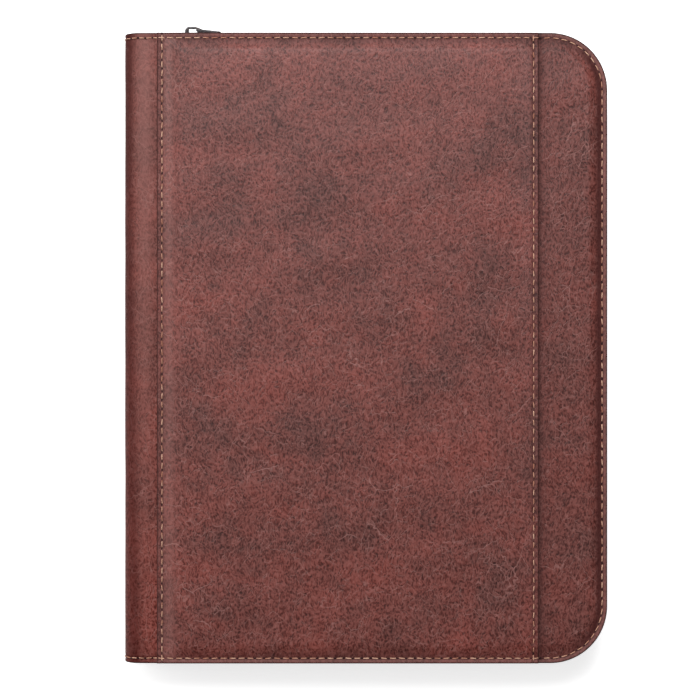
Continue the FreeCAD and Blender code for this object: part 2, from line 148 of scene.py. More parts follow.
class CoverSettings(bpy.types.PropertyGroup):
    corner: length("Corner radius", "Radius of both covers' fore-edge corners", 26.0)
    roll: length("Turned edge", "Radius of the leather's turned edge", 0.6)
    margin: length("Sewn margin", "Flat width outside the padding", 3.3)
    slope: length("Padding slope", "Width over which the padding rises", 5.4)
    swell: length("Swell", "How much the front's padding goes on rising towards the middle", 0.5)
    pull_in: length("Seam pull", "How deep a row of stitches pulls the leather in", 0.26)
    ripple: length("Ripple", "Height of the leather's soft unevenness", 0.10)
    lift: length("Pocket lift", "How far the pocket's open edge stands off the cover", 0.6)
    step: length("Mesh step", "Spacing of the leather's mesh", 1.45)


class ThreadSettings(bpy.types.PropertyGroup):
    pitch: length("Stitch pitch", "From one stitch to the next", 3.95)
    long: length("Stitch length", "Length of one stitch", 2.55)
    width: length("Thread width", "Width of the thread", 0.50)
    tint: colour("Thread", "Colour of the waxed thread", 0.68, 0.41, 0.29)
    seed: IntProperty(name="Seed", description="Seed of the stitches' small turns", default=5)


class ZipSettings(bpy.types.PropertyGroup):
    pitch: length("Coil pitch", "From one tooth of the coil to the next", 1.35)
    wire: length("Coil wire", "Radius of the coil's wire", 0.32)
    tape: colour("Zip tape", "Colour of the woven tape", 0.034, 0.012, 0.012)
    coil: colour("Coil", "Colour of the nylon coil", 0.028, 0.016, 0.016)
    metal: colour("Metal", "Lacquer on the slider and pull", 0.010, 0.005, 0.008)


class LeatherSettings(bpy.types.PropertyGroup):
    dark: colour("Dark", "Colour of the darker blotches", 0.050, 0.0085, 0.0060)
    middle: colour("Middle", "Colour of most of the leather", 0.120, 0.0215, 0.0155)
    crease: colour("Crease", "Colour where a crease pulls the finish thin", 0.30, 0.140, 0.125)
    # This colour is painted shade: slopes, stitch rows and the spine's wall where they face away from the
    # light, and the cover past the pocket's open edge
    burnish: colour("Burnish", "Colour where an iron has pressed the leather", 0.040, 0.0035, 0.0025)
    # The rim colour also paints shade into the needle holes and along the stitch rows, and a painted shadow
    # past the pocket's open edge
    rim: colour("Rim", "Colour along turned edges and needle holes", 0.022, 0.0050, 0.0048)
    blotch: length("Blotch size", "Size of the colour's blotches", 34.0)
    net: length("Crease size", "Size of one mesh of the crease net", 3.4)
    pore: length("Grain size", "Size of one pore of the grain", 1.10)


class BibleSettings(bpy.types.PropertyGroup):
    cover: colour("Bible cover", "Colour of the bible's own cover", 0.014, 0.012, 0.012)
    paper: colour("Paper", "Colour of the pages", 0.76, 0.71, 0.60)
    gilt: colour("Page edges", "Colour of the gilded page edges", 0.62, 0.43, 0.17)
    ribbon: colour("Ribbon", "Colour of the ribbon marker", 0.30, 0.012, 0.022)
    turn: length("Page bend", "Width beside the sewn edge over which turned pages bend", 16.0)


class StageSettings(bpy.types.PropertyGroup):
    height: length("Camera height", "From the front cover to the camera", 1050.0)
    width: length("View width", "Width of the view at the front cover", 316.7)
    aside: length("View aside", "Camera's place along X", -7.0)
    down: length("View down", "Camera's place along Y", -0.9)
    floor: colour("Floor", "Colour of the floor", 0.90, 0.90, 0.90)
    glow: strength("Floor glow", "Light of its own that the lit floor gives", 0.72)
    room: strength("Room light", "Strength of the light from all round", 0.28)
    key: strength("Key light", "Power of the large light over the head", 19.8)
    side: strength("Side light", "Power of the large light at the spine's side", 7.5)


class CaseSettings(bpy.types.PropertyGroup):
    cover: PointerProperty(type=CoverSettings)
    thread: PointerProperty(type=ThreadSettings)
    zip: PointerProperty(type=ZipSettings)
    leather: PointerProperty(type=LeatherSettings)
    bible: PointerProperty(type=BibleSettings)
    stage: PointerProperty(type=StageSettings)


def settings():
    return bpy.context.scene.bible_case


# ---- node helpers ----
class Signal:
    """A number worked out in a node tree. It adds, subtracts and multiplies as a plain number does."""

    def __init__(self, tree, socket):
        self.tree, self.socket = tree, socket

    def maths(self, operation, *others):
        return maths(self.tree, operation, self, *others)

    def __add__(self, other):
        return self.maths("ADD", other)

    def __sub__(self, other):
        return self.maths("SUBTRACT", other)

    def __mul__(self, other):
        return self.maths("MULTIPLY", other)

    def span(self, low, high, to_low=0.0, to_high=1.0):
        """The range from low to high, stretched and clamped."""
        inputs = {"Value": self, "From Min": low, "From Max": high, "To Min": to_low, "To Max": to_high}
        return Signal(self.tree, node(self.tree, "ShaderNodeMapRange", inputs).outputs[0])


def source(value):
    """The socket behind a signal; anything else as it is."""
    return value.socket if isinstance(value, Signal) else value


def node(tree, kind, inputs=None, **choices):
    """Adds a node. Each input is a value, or a signal or socket to link from."""
    made = tree.nodes.new(kind)
    for key, value in choices.items():
        setattr(made, key, value)
    for key, value in (inputs or {}).items():
        value = source(value)
        if isinstance(value, bpy.types.NodeSocket):
            tree.links.new(value, made.inputs[key])
        else:
            made.inputs[key].default_value = value
    return made


def maths(tree, operation, *values):
    return Signal(tree, node(tree, "ShaderNodeMath", dict(enumerate(values)), operation=operation).outputs[0])


def noise(tree, vector, scale, detail=3.0, roughness=0.55):
    inputs = {"Vector": vector, "Scale": scale, "Detail": detail, "Roughness": roughness}
    return Signal(tree, node(tree, "ShaderNodeTexNoise", inputs).outputs["Fac"])


def cells(tree, vector, scale, feature):
    """Distances in a field of cells: from their centres, or from their edges."""
    made = node(tree, "ShaderNodeTexVoronoi", {"Vector": vector, "Scale": scale}, feature=feature)
    return Signal(tree, made.outputs["Distance"])


def once(build):
    """Builds a node group the first time, and finds it by its own name afterwards."""
    return lambda: bpy.data.node_groups.get(build.__name__) or build()


def shader_group(name, numbers, results):
    """An empty node group that takes a place and some numbers, with its inner sockets at both ends."""
    tree = bpy.data.node_groups.new(name, "ShaderNodeTree")
    tree.interface.new_socket("Place", in_out="INPUT", socket_type="NodeSocketVector")
    for way, labels in (("INPUT", numbers), ("OUTPUT", results)):
        for label in labels:
            tree.interface.new_socket(label, in_out=way, socket_type="NodeSocketFloat")
    return tree, tree.nodes.new("NodeGroupInput").outputs, tree.nodes.new("NodeGroupOutput").inputs


@once
def leather_pattern():
    """Blotches, a net of hair creases and a pored grain, all at real size."""
    sizes = ("Blotch Size", "Net Size", "Pore Size")
    tree, given, results = shader_group("leather_pattern", sizes, ("Blotch", "Crease", "Speckle", "Height"))
    place = given["Place"]
    blotches, nets, pores = (maths(tree, "DIVIDE", 1.0, given[label]) for label in sizes)
    wide = noise(tree, place, blotches, 4.0, 0.62)
    small = noise(tree, place, blotches * 4.3, 3.0, 0.6)
    blotch = (wide * 0.72 + small * 0.28).span(0.38, 0.63)

    # The net is pushed out of true by a slow drift, then stretched along Y.
    drift = noise(tree, place, nets * 0.30, 3.0, 0.6).socket.node.outputs["Color"]
    drift = node(tree, "ShaderNodeVectorMath", {0: drift, 1: (0.5, 0.5, 0.5)}, operation="SUBTRACT").outputs[0]
    drift = node(tree, "ShaderNodeVectorMath", {0: drift, "Scale": 0.0065}, operation="SCALE").outputs[0]
    moved = node(tree, "ShaderNodeVectorMath", {0: place, 1: drift}, operation="ADD").outputs[0]
    upright = node(tree, "ShaderNodeMapping", {"Vector": moved, "Scale": (1.35, 0.62, 1.0)}).outputs[0]
    coarse, fine = (
        cells(tree, upright, nets * finer, "DISTANCE_TO_EDGE").span(0.0, thin, 1.0, 0.0)
        * noise(tree, place, nets * finer * 0.55, 2.0).span(0.40, 0.60)
        for finer, thin in ((0.26, 0.013), (1.15, 0.055))
    )
    crease = coarse.maths("MAXIMUM", fine * 0.75)

    pit = cells(tree, upright, pores, "F1").span(0.08, 0.62)
    grain = pit * 0.45 + noise(tree, moved, pores * 0.8, 3.0, 0.65).span(0.30, 0.70) * 0.55
    height = grain - crease * 0.8
    for label, value in (("Blotch", blotch), ("Crease", crease), ("Speckle", grain), ("Height", height)):
        tree.links.new(value.socket, results[label])
    return tree


@once
def weave_pattern():
    """Over and under threads of a cloth, as a height and a mask of the gaps."""
    tree, given, results = shader_group("weave_pattern", ("Thread", "Slant"), ("Height", "Gap", "Uneven"))
    axes = node(tree, "ShaderNodeSeparateXYZ", {0: given["Place"]}).outputs
    turns = maths(tree, "DIVIDE", math.pi, given["Thread"])
    along, across = (Signal(tree, axes[axis]) * turns for axis in "XY")
    warp = (along + across * given["Slant"]).maths("SINE").maths("ABSOLUTE")
    weft = across.maths("SINE").maths("ABSOLUTE")
    height = warp.maths("POWER", 0.6) * weft.maths("POWER", 0.35)
    gap, uneven = height.span(0.0, 0.55, 1.0, 0.0), noise(tree, given["Place"], 260.0)
    for label, value in (("Height", height), ("Gap", gap), ("Uneven", uneven)):
        tree.links.new(value.socket, results[label])
    return tree


class Finish:
    """A material under way: one Principled shader and whatever feeds it."""

    def __init__(self, name, **constants):
        self.material = bpy.data.materials.new(name)
        self.material.use_nodes = True
        self.tree = self.material.node_tree
        self.shader = next(n for n in self.tree.nodes if n.type == "BSDF_PRINCIPLED")
        for key, value in constants.items():
            self.shader.inputs[key.replace("_", " ").title().replace("Ior", "IOR")].default_value = value

    def place(self, shift=(0, 0, 0), turn=(0, 0, 0)):
        """Object coordinates, moved so that two panels don't share one pattern."""
        seen = node(self.tree, "ShaderNodeTexCoord").outputs["Object"]
        inputs = {"Vector": seen, "Location": shift, "Rotation": turn}
        return node(self.tree, "ShaderNodeMapping", inputs).outputs[0]

    def noise(self, scale, detail=3.0, roughness=0.55):
        return noise(self.tree, self.place(), scale, detail, roughness)

    def mark(self, name):
        """A number kept on the piece's own points."""
        return Signal(self.tree, node(self.tree, "ShaderNodeAttribute", attribute_name=name).outputs["Fac"])

    def pattern(self, group, inputs):
        """What a shared pattern gives, by name."""
        made = node(self.tree, "ShaderNodeGroup", inputs, node_tree=group)
        return {each.name: Signal(self.tree, each) for each in made.outputs}

    def mix(self, share, first, second, blend="MIX"):
        """Two colours mixed by share."""
        inputs = {0: share, 6: first, 7: second}
        return node(self.tree, "ShaderNodeMix", inputs, data_type="RGBA", blend_type=blend).outputs[2]

    def feed(self, name, value):
        self.tree.links.new(source(value), self.shader.inputs[name])

    def bump(self, height, strength, distance):
        inputs = {"Height": height, "Strength": strength, "Distance": distance}
        self.feed("Normal", node(self.tree, "ShaderNodeBump", inputs).outputs[0])


def tone(tint, lightness=1.0):
    """A colour for a socket, lighter or darker than the one given."""
    return tuple(min(1.0, c * lightness) for c in tint[:3]) + (1,)


def leather(name, shift=(0, 0, 0), lightness=1.0, gloss=0.26):
    """Red-brown pull-up leatherette: darker blotches, paler creases, painted shade on slopes, seams and the
    spine's wall, painted highlights on margins and the spine, and dark turned edges.
    """
    look = settings().leather
    made = Finish(name, specular_ior_level=gloss)
    sizes = {"Blotch Size": look.blotch, "Net Size": look.net, "Pore Size": look.pore}
    pattern = made.pattern(leather_pattern(), {"Place": made.place(shift), **sizes})
    burnish, rub, rim = (made.mark(each) for each in ("burnish", "rub", "rim"))
    base = made.mix(pattern["Blotch"], tone(look.dark), tone(look.middle, lightness))
    base = made.mix(1.0, base, pattern["Speckle"].span(0.15, 0.85, 0.38, 1.62), "MULTIPLY")
    for share, tint in (
        (pattern["Speckle"].span(0.42, 0.92, 0.0, 0.28), look.crease),
        (pattern["Crease"] * 0.62, look.crease),
        # painted shade on slopes, along the stitch rows and on the spine's wall
        (burnish * 0.9, look.burnish),
        # painted highlight, in the crease colour
        (rub * 0.16, look.crease),
        # dark turned edges, with painted shade along the stitch rows and a painted shadow past the pocket's
        # open edge
        (rim.maths("MINIMUM", 0.92), look.rim),
    ):
        base = made.mix(share, base, tone(tint))
    made.feed("Base Color", base)
    dull = rim * 0.45 + burnish * 0.25 + pattern["Crease"] * 0.08
    made.feed("Roughness", pattern["Blotch"].span(0.0, 1.0, 0.48, 0.41) + dull)
    made.bump(pattern["Height"], 0.42, 0.22 * MM)
    return made.material


def thread_finish():
    """Waxed thread, with painted shade in the needle holes between its stitches."""
    made = Finish("waxed_thread", roughness=0.6, specular_ior_level=0.15)
    look = settings()
    place = made.place(turn=(0.5, 0.6, 0.8))
    strands = node(made.tree, "ShaderNodeTexWave", {"Vector": place, "Scale": 900.0}).outputs["Fac"]
    strands = Signal(made.tree, strands)
    tint = made.mix(1.0, tone(look.thread.tint), strands.span(0.0, 1.0, 0.78, 1.12), "MULTIPLY")
    tint = made.mix(made.noise(160.0).span(0.38, 0.62, 0.0, 0.8), tint, SOILED_THREAD)
    # painted shade in the needle holes, in the rim colour
    made.feed("Base Color", made.mix(made.mark("hole"), tint, tone(look.leather.rim)))
    made.bump(strands, 0.3, 0.1 * MM)
    return made.material


def cloth(name, tint, thread, slant=0.0, own_place=False, roughness=0.85, sheen=0.25):
    """Woven cloth, on Object coordinates or on the piece's own lengths along and across."""
    made = Finish(name, roughness=roughness, sheen_weight=sheen)
    if own_place:
        place = node(made.tree, "ShaderNodeAttribute", attribute_name="cloth").outputs["Vector"]
    else:
        place = made.place()
    pattern = made.pattern(weave_pattern(), {"Place": place, "Thread": thread, "Slant": slant})
    base = made.mix(pattern["Gap"] * 0.7, tone(tint), tone(tint, 0.45))
    made.feed("Base Color", made.mix(1.0, base, pattern["Uneven"].span(0.3, 0.7, 0.85, 1.18), "MULTIPLY"))
    made.bump(pattern["Height"], 0.5, thread * 0.4)
    return made.material


def plain_grain(name, tint, scale, depth, roughness):
    """A fine pebbled finish, for the bible's own cover, board and nylon."""
    made = Finish(name, roughness=roughness)
    cloud = made.noise(scale * 0.03, 4.0)
    made.feed("Base Color", made.mix(cloud.span(0.35, 0.7), tone(tint), tone(tint, 1.5)))
    made.bump(cells(made.tree, made.place(), scale, "SMOOTH_F1"), 0.5, depth)
    return made.material


def dark_metal():
    """Dark lacquer over zinc, rubbed through a little on its edges."""
    made = Finish("dark_lacquered_metal", specular_ior_level=0.3, coat_weight=0.15, coat_roughness=0.3)
    edges = Signal(made.tree, node(made.tree, "ShaderNodeNewGeometry").outputs["Pointiness"])
    scuff = made.noise(900.0, 4.0)
    worn = edges.span(0.52, 0.62) * scuff.span(0.45, 0.6)
    made.feed("Base Color", made.mix(worn * 0.5, tone(settings().zip.metal), BARE_ZINC))
    made.feed("Metallic", worn.span(0.0, 1.0, 0.15, 1.0))
    made.feed("Roughness", scuff.span(0.3, 0.7, 0.30, 0.48))
    return made.material


def paper(name, tint, cloudy=0.06):
    """Thin paper, with a faint cloud in its colour."""
    made = Finish(name, roughness=0.75)
    cloud = made.noise(45.0, 5.0, 0.6)
    made.feed("Base Color", made.mix(cloud.span(0.3, 0.7), tone(tint, 1 - cloudy * 1.6), tone(tint)))
    made.bump(made.noise(1500.0, 2.0), 0.15, 0.1 * MM)
    return made.material


def page_edges():
    """Gilded edges of many thin leaves: fine bands along Z with a few darker gaps."""
    gilt = settings().bible.gilt
    made = Finish("gilded_page_edges", roughness=0.36, metallic=0.75)
    leaves_apart = {"Vector": made.place(), "Scale": (4.0, 4.0, 3600.0)}
    bands = noise(made.tree, node(made.tree, "ShaderNodeMapping", leaves_apart).outputs[0], 1.0, 3.0, 0.7)
    made.feed("Base Color", made.mix(bands.span(0.36, 0.56), tone(gilt, 0.42), tone(gilt)))
    made.feed("Roughness", bands.span(0.3, 0.7, 0.5, 0.3))
    made.bump(bands, 0.4, 0.12 * MM)
    return made.material


def stripes(name, first, second, width):
    """Silk wound in two colours, striped along Z."""
    made = Finish(name, roughness=0.4, sheen_weight=0.3)
    height = Signal(made.tree, node(made.tree, "ShaderNodeSeparateXYZ", {0: made.place()}).outputs["Z"])
    band = (height * (math.pi / width)).maths("SINE")
    made.feed("Base Color", made.mix(band.span(-0.2, 0.2), tone(first), tone(second)))
    made.bump(band.maths("ABSOLUTE"), 0.5, 0.2 * MM)
    return made.material


_finishes = {}


def finish(name):
    """Each finish by its name, made once."""
    look = settings()
    makers = {
        # The cover's leather is made darker than the pocket's as painted shade for the strip that shows beside
        # the pocket.
        "leather_cover": lambda: leather("leatherette_cover", lightness=0.88),
        "leather_pocket": lambda: leather("leatherette_pocket", (0.41, 0.23, 0.1)),
        "leather_spine": lambda: leather("leatherette_spine", (0.83, -0.31, 0.2), gloss=0.07),
        "leather_sleeve": lambda: leather("leatherette_sleeve", (-0.5, 0.4, 0.3), 0.75),
        "thread": thread_finish,
        "tape": lambda: cloth("zip_tape_weave", look.zip.tape, 0.55 * MM, 1.0, True, sheen=0.02),
        "lining": lambda: cloth("lining_weave", LINING_TINT, 0.6 * MM),
        "spine_lining": lambda: cloth("spine_lining_weave", LINING_TINT, 0.6 * MM, 0.0, True),
        "coil": lambda: plain_grain("nylon_coil", look.zip.coil, 4000.0, 0.02 * MM, 0.32),
        "metal": dark_metal,
        "bible": lambda: plain_grain("bible_cover_grain", look.bible.cover, 1500.0, 0.14 * MM, 0.42),
        "paper": lambda: paper("page_paper", look.bible.paper),
        "endpaper": lambda: paper("endpaper", (0.70, 0.66, 0.56), 0.1),
        "edges": page_edges,
        "gauze": lambda: cloth("spine_gauze", (0.62, 0.57, 0.47), 1.2 * MM, roughness=0.9),
        "band": lambda: stripes("head_band_silk", (0.45, 0.02, 0.03), (0.72, 0.66, 0.52), 0.8 * MM),
        "ribbon": lambda: cloth("ribbon_satin", look.bible.ribbon, 0.3 * MM, 0.0, True, 0.35, 0.6),
        "board": lambda: plain_grain("grey_board", (0.34, 0.29, 0.23), 1800.0, 0.1 * MM, 0.9),
    }
    if name not in _finishes:
        _finishes[name] = makers[name]()
    return _finishes[name]


# ---- mesh helpers ----
def keep(mesh, looks, body=None, replaced=(), smooth=40):
    """Makes the mesh's piece, with one finish or a pair, and says what it rides on and stands for."""
    piece = linked(mesh.name, mesh)
    sides = np.zeros(len(mesh.polygons), np.int32)
    mesh.polygons.foreach_get("material_index", sides)
    mesh.materials.clear()
    for each in (looks,) if isinstance(looks, str) else looks:
        mesh.materials.append(finish(each))
    if not isinstance(looks, str):
        mesh.polygons.foreach_set("material_index", sides)
    mesh.polygons.foreach_set("use_smooth", [True] * len(mesh.polygons))
    mesh.set_sharp_from_angle(angle=math.radians(smooth))
    if body:
        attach(piece, body)
    if replaced:
        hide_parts(*replaced)
    return piece


def smoothstep(value, low=0.0, high=1.0):
    t = np.clip((value - low) / (high - low), 0, 1)
    return t * t * (3 - 2 * t)


def mended(mesh, *steps):
    """Runs steps on a mesh in its editable form, then turns its normals outward."""
    work = bmesh.new()
    work.from_mesh(mesh)
    for step in steps:
        step(work)
    bmesh.ops.recalc_face_normals(work, faces=work.faces)
    work.to_mesh(mesh)
    work.free()
    return mesh


def bell(distance, width):
    """One at no distance, falling away to nothing over a few widths."""
    return np.exp(-((distance / width) ** 2))


def shell(name, outer, inner, marks=None, lengths=None):
    """A closed mesh between two grids of points of the same shape. Its rim takes the second material."""
    rows, columns = outer.shape[:2]
    count = rows * columns
    ids = np.arange(count).reshape(rows, columns)
    quads = np.stack([ids[:-1, :-1], ids[:-1, 1:], ids[1:, 1:], ids[1:, :-1]], -1).reshape(-1, 4)
    ring = np.concatenate([ids[0, :-1], ids[:-1, -1], ids[-1, :0:-1], ids[:0:-1, 0]])
    after = np.roll(ring, -1)
    sides = np.stack([ring, after, after + count, ring + count], -1)[:, ::-1]
    faces = np.concatenate([quads, quads[:, ::-1] + count, sides])
    points = np.concatenate([outer.reshape(-1, 3), inner.reshape(-1, 3)])
    mesh = bpy.data.meshes.new(name)
    mesh.from_pydata(points.tolist(), [], faces.tolist())
    for key, values in (marks or {}).items():
        both = np.concatenate([values.ravel(), values.ravel()]).astype(np.float32)
        mesh.attributes.new(key, "FLOAT", "POINT").data.foreach_set("value", both)
    if lengths is not None:
        both = np.zeros((2 * count, 3), np.float32)
        both[:, :2] = np.concatenate([lengths.reshape(-1, 2)] * 2)
        mesh.attributes.new("cloth", "FLOAT_VECTOR", "POINT").data.foreach_set("vector", both.ravel())
    rim = np.zeros(len(faces), np.int32)
    rim[-len(sides):] = 1
    mesh.polygons.foreach_set("material_index", rim)
    return mended(
        mesh,
        lambda work: bmesh.ops.remove_doubles(work, verts=work.verts, dist=SAME_POINT),
        lambda work: bmesh.ops.dissolve_degenerate(work, edges=work.edges, dist=SAME_POINT / 10),
    )


def lines(start, end, step, near_start=(), near_end=()):
    """Places from start to end: the given distances in from each end, and even steps between."""
    low = [start + d for d in near_start] or [start]
    high = [end - d for d in near_end][::-1] or [end]
    count = max(1, round((high[0] - low[-1]) / step))
    between = np.linspace(low[-1], high[0], count + 1)[1:-1]
    return np.array(list(low) + list(between) + list(high))


def edge_places(radius, reach=EDGE_REACH):
    """Distances in from a rolled edge: close together round the roll, then even."""
    round_roll = [radius * share for share in (0, 0.03, 0.1, 0.22, 0.4, 0.65, 1)]
    return round_roll + list(np.arange(1.0 * MM, reach, EDGE_STEP))


def roll_drop(inset, radius):
    """How far a rolled edge falls from its level, at this distance from the edge."""
    t = np.clip(1 - inset / radius, 0, 1)
    return radius * (1 - np.sqrt(1 - t * t))


def rounded(x, y, right, half, radius):
    """Bends a grid's two right corners into arcs, keeping each line's distance from the edge."""
    u = (x - (right - radius)) / radius
    v = (np.abs(y) - (half - radius)) / radius
    inside = (u > 0) & (v > 0)
    far = np.where(inside, np.maximum(u, v), 1)
    near = np.where(inside, np.minimum(u, v), 0)
    turn = near / far * math.pi / 4
    long, short = far * np.cos(turn), far * np.sin(turn)
    new_u, new_v = np.where(u >= v, long, short), np.where(u >= v, short, long)
    x = np.where(inside, right - radius + new_u * radius, x)
    y = np.where(inside, np.sign(y) * (half - radius + new_v * radius), y)
    return x, y


def inset_of(x, y, right, half, radius):
    """Distance in from the outline along head, fore edge and foot."""
    straight = np.minimum(right - x, half - np.abs(y))
    u, v = x - (right - radius), np.abs(y) - (half - radius)
    return np.where((u > 0) & (v > 0), radius - np.hypot(u, v), straight)


def ripple(x, y, seed, size):
    """A soft unevenness from a few long waves."""
    chance = np.random.default_rng(seed)
    total = np.zeros_like(x)
    for _ in range(9):
        turn, wave = chance.uniform(0, math.pi), chance.uniform(0.018, 0.075)
        phase = chance.uniform(0, 2 * math.pi)
        total += np.sin((x * math.cos(turn) + y * math.sin(turn)) * 2 * math.pi / wave + phase)
    return total * size / 3


class Route:
    """The covers' outline at one inset: along the head, round the fore edge, and back along the foot."""

    def __init__(self, left, inset):
        self.left, self.inset = left, inset
        self.radius = settings().cover.corner
        self.straight = FORE_X - self.radius - left
        self.arc = (self.radius - inset) * math.pi / 2
        self.side = 2 * (HALF_Y - self.radius)
        self.length = 2 * self.straight + 2 * self.arc + self.side

    def stations(self, step, arc_steps=18):
        """Lengths along the route, with every straight and arc evenly divided."""
        ends = np.cumsum([0, self.straight, self.arc, self.side, self.arc, self.straight])
        parts = []
        for index, (a, b) in enumerate(zip(ends[:-1], ends[1:])):
            count = arc_steps if index in (1, 3) else max(1, round((b - a) / step))
            parts.append(np.linspace(a, b, count + 1)[:-1])
        return np.concatenate(parts + [ends[-1:]])

    def at(self, s):
        """Points on the outline itself and outward directions, at lengths s of this route."""
        reach, corner = FORE_X - self.radius, HALF_Y - self.radius
        s1, s2 = self.straight, self.straight + self.arc
        s3, s4 = s2 + self.side, s2 + self.side + self.arc
        head, foot = s < s1, s >= s4
        turn = np.where(s < s3, (s - s1) / self.arc, 1 + (s - s3) / self.arc) * math.pi / 2
        turn = np.where((s >= s2) & (s < s3), math.pi / 2, turn)
        nx = np.where(head | foot, 0, np.sin(turn))
        ny = np.where(head, 1, np.where(foot, -1, np.cos(turn)))
        cx = np.where(head, self.left + s, np.where(foot, reach - (s - s4), reach))
        cy = np.where(head | (s < s2), corner, np.where(foot | (s >= s3), -corner, corner - (s - s2)))
        return cx + nx * self.radius, cy + ny * self.radius, nx, ny

    def points(self, s, inset, z):
        x, y, nx, ny = self.at(s)
        return np.stack([x - nx * inset, y - ny * inset, np.broadcast_to(z, x.shape)], -1)


def swept(name, route, outer, inner, step):
    """A closed strip along a route, between two profiles of (inset, z)."""
    s = route.stations(step)
    grids = [np.stack([route.points(s, inset, z) for inset, z in profile], 1) for profile in (outer, inner)]
    across = profile_lengths(np.array(outer))
    return shell(name, *grids, lengths=np.stack(np.meshgrid(s, across, indexing="ij"), -1))


# ---- rows that repeat ----
@once
def rows_along_a_path():
    """Geometry nodes: puts one item at even spacings along a path, turned to face its way and its surface."""
    tree = bpy.data.node_groups.new("rows_along_a_path", "GeometryNodeTree")
    sockets = {
        "Path": "Geometry", "Item": "Object", "Spacing": "Float",
        "Sway": "Float", "Seed": "Int", "Finish": "Material",
    }
    for label, kind in sockets.items():
        tree.interface.new_socket(label, in_out="INPUT", socket_type=f"NodeSocket{kind}")
    tree.interface.new_socket("Rows", in_out="OUTPUT", socket_type="NodeSocketGeometry")
    given, end = tree.nodes.new("NodeGroupInput").outputs, tree.nodes.new("NodeGroupOutput")

    def made(kind, inputs, **choices):
        return node(tree, kind, inputs, **choices).outputs[0]

    curve = made("GeometryNodeMeshToCurve", {"Mesh": given["Path"]})
    even = made("GeometryNodeResampleCurve", {"Curve": curve, "Length": given["Spacing"]}, mode="LENGTH")
    tangent = made("GeometryNodeInputTangent", {})
    up = made("GeometryNodeInputNamedAttribute", {"Name": "up"}, data_type="FLOAT_VECTOR")
    along = made("FunctionNodeAlignRotationToVector", {"Vector": tangent}, axis="X")
    facing = {"Rotation": along, "Vector": up}
    upright = made("FunctionNodeAlignRotationToVector", facing, axis="Z", pivot_axis="X")
    chance = node(tree, "FunctionNodeRandomValue", {"Seed": given["Seed"]})
    limits = [each for each in chance.inputs if each.name in ("Min", "Max") and each.type == "VALUE"]
    for socket, limit in zip(limits, (maths(tree, "MULTIPLY", given["Sway"], -1.0).socket, given["Sway"])):
        tree.links.new(limit, socket)
    value = next(each for each in chance.outputs if each.type == "VALUE")
    turn = made("FunctionNodeEulerToRotation", {0: made("ShaderNodeCombineXYZ", {"Z": value})})
    turning = {"Rotation": upright, "Rotate By": turn}
    swayed = made("FunctionNodeRotateRotation", turning, rotation_space="LOCAL")
    item = node(tree, "GeometryNodeObjectInfo", {"Object": given["Item"]}).outputs["Geometry"]
    rows = made("GeometryNodeInstanceOnPoints", {"Points": even, "Instance": item, "Rotation": swayed})
    real = made("GeometryNodeRealizeInstances", {"Geometry": rows})
    finished = made("GeometryNodeSetMaterial", {"Geometry": real, "Material": given["Finish"]})
    tree.links.new(finished, end.inputs["Rows"])
    return tree


def grown(name, paths, item, spacing, look, sway=0.0, seed=1):
    """The mesh of one item repeated along paths. Each path is its points and their outward directions."""
    points, ups, edges = [], [], []
    for places, directions in paths:
        first = len(points)
        points += [tuple(p) for p in places]
        ups += [tuple(d) for d in directions]
        edges += [(first + i, first + i + 1) for i in range(len(places) - 1)]
    path = bpy.data.meshes.new(name + "_path")
    path.from_pydata(points, edges, [])
    ups = np.array(ups, np.float32).ravel()
    path.attributes.new("up", "FLOAT_VECTOR", "POINT").data.foreach_set("vector", ups)
    holder = linked(name + "_path", path)
    rows = holder.modifiers.new("rows", "NODES")
    rows.node_group = rows_along_a_path()
    values = {"Item": item, "Spacing": spacing, "Sway": sway, "Seed": seed, "Finish": finish(look)}
    for socket in rows.node_group.interface.items_tree:
        if socket.name in values:
            rows[socket.identifier] = values[socket.name]
    holder.update_tag()
    ready = bpy.context.evaluated_depsgraph_get()
    mesh = bpy.data.meshes.new_from_object(holder.evaluated_get(ready), depsgraph=ready)
    mesh.name = name
    bpy.data.objects.remove(holder)
    if not mesh.polygons:
        raise RuntimeError(f"{name} grew no rows")
    return mesh


def linked(name, data):
    """A new object of the scene."""
    made = bpy.data.objects.new(name, data)
    bpy.context.scene.collection.objects.link(made)
    return made


def tube(centres, radii, sides):
    """Points and faces of a closed tube in the XZ plane."""
    points, faces = [], []
    count = len(centres)
    for index, (x, z) in enumerate(centres):
        before, following = centres[max(index - 1, 0)], centres[min(index + 1, count - 1)]
        way = Vector((following[0] - before[0], 0, following[1] - before[1])).normalized()
        out = Vector((-way.z, 0, way.x))
        for k in range(sides):
            angle = 2 * math.pi * k / sides
            aside = Vector((0, math.cos(angle) * radii[index], 0))
            points.append(Vector((x, 0, z)) + out * math.sin(angle) * radii[index] + aside)
    for i in range(count - 1):
        for k in range(sides):
            a, b = i * sides + k, i * sides + (k + 1) % sides
            faces.append((a, b, b + sides, a + sides))
    faces.append(tuple(range(sides))[::-1])
    faces.append(tuple(range((count - 1) * sides, count * sides)))
    return points, faces


def item_object(name, points, faces, marks=None):
    mesh = bpy.data.meshes.new(name)
    mesh.from_pydata([tuple(p) for p in points], [], faces)
    if marks is not None:
        mesh.attributes.new("hole", "FLOAT", "POINT").data.foreach_set("value", marks)
    mended(mesh).polygons.foreach_set("use_smooth", [True] * len(mesh.polygons))
    return linked(name, mesh)


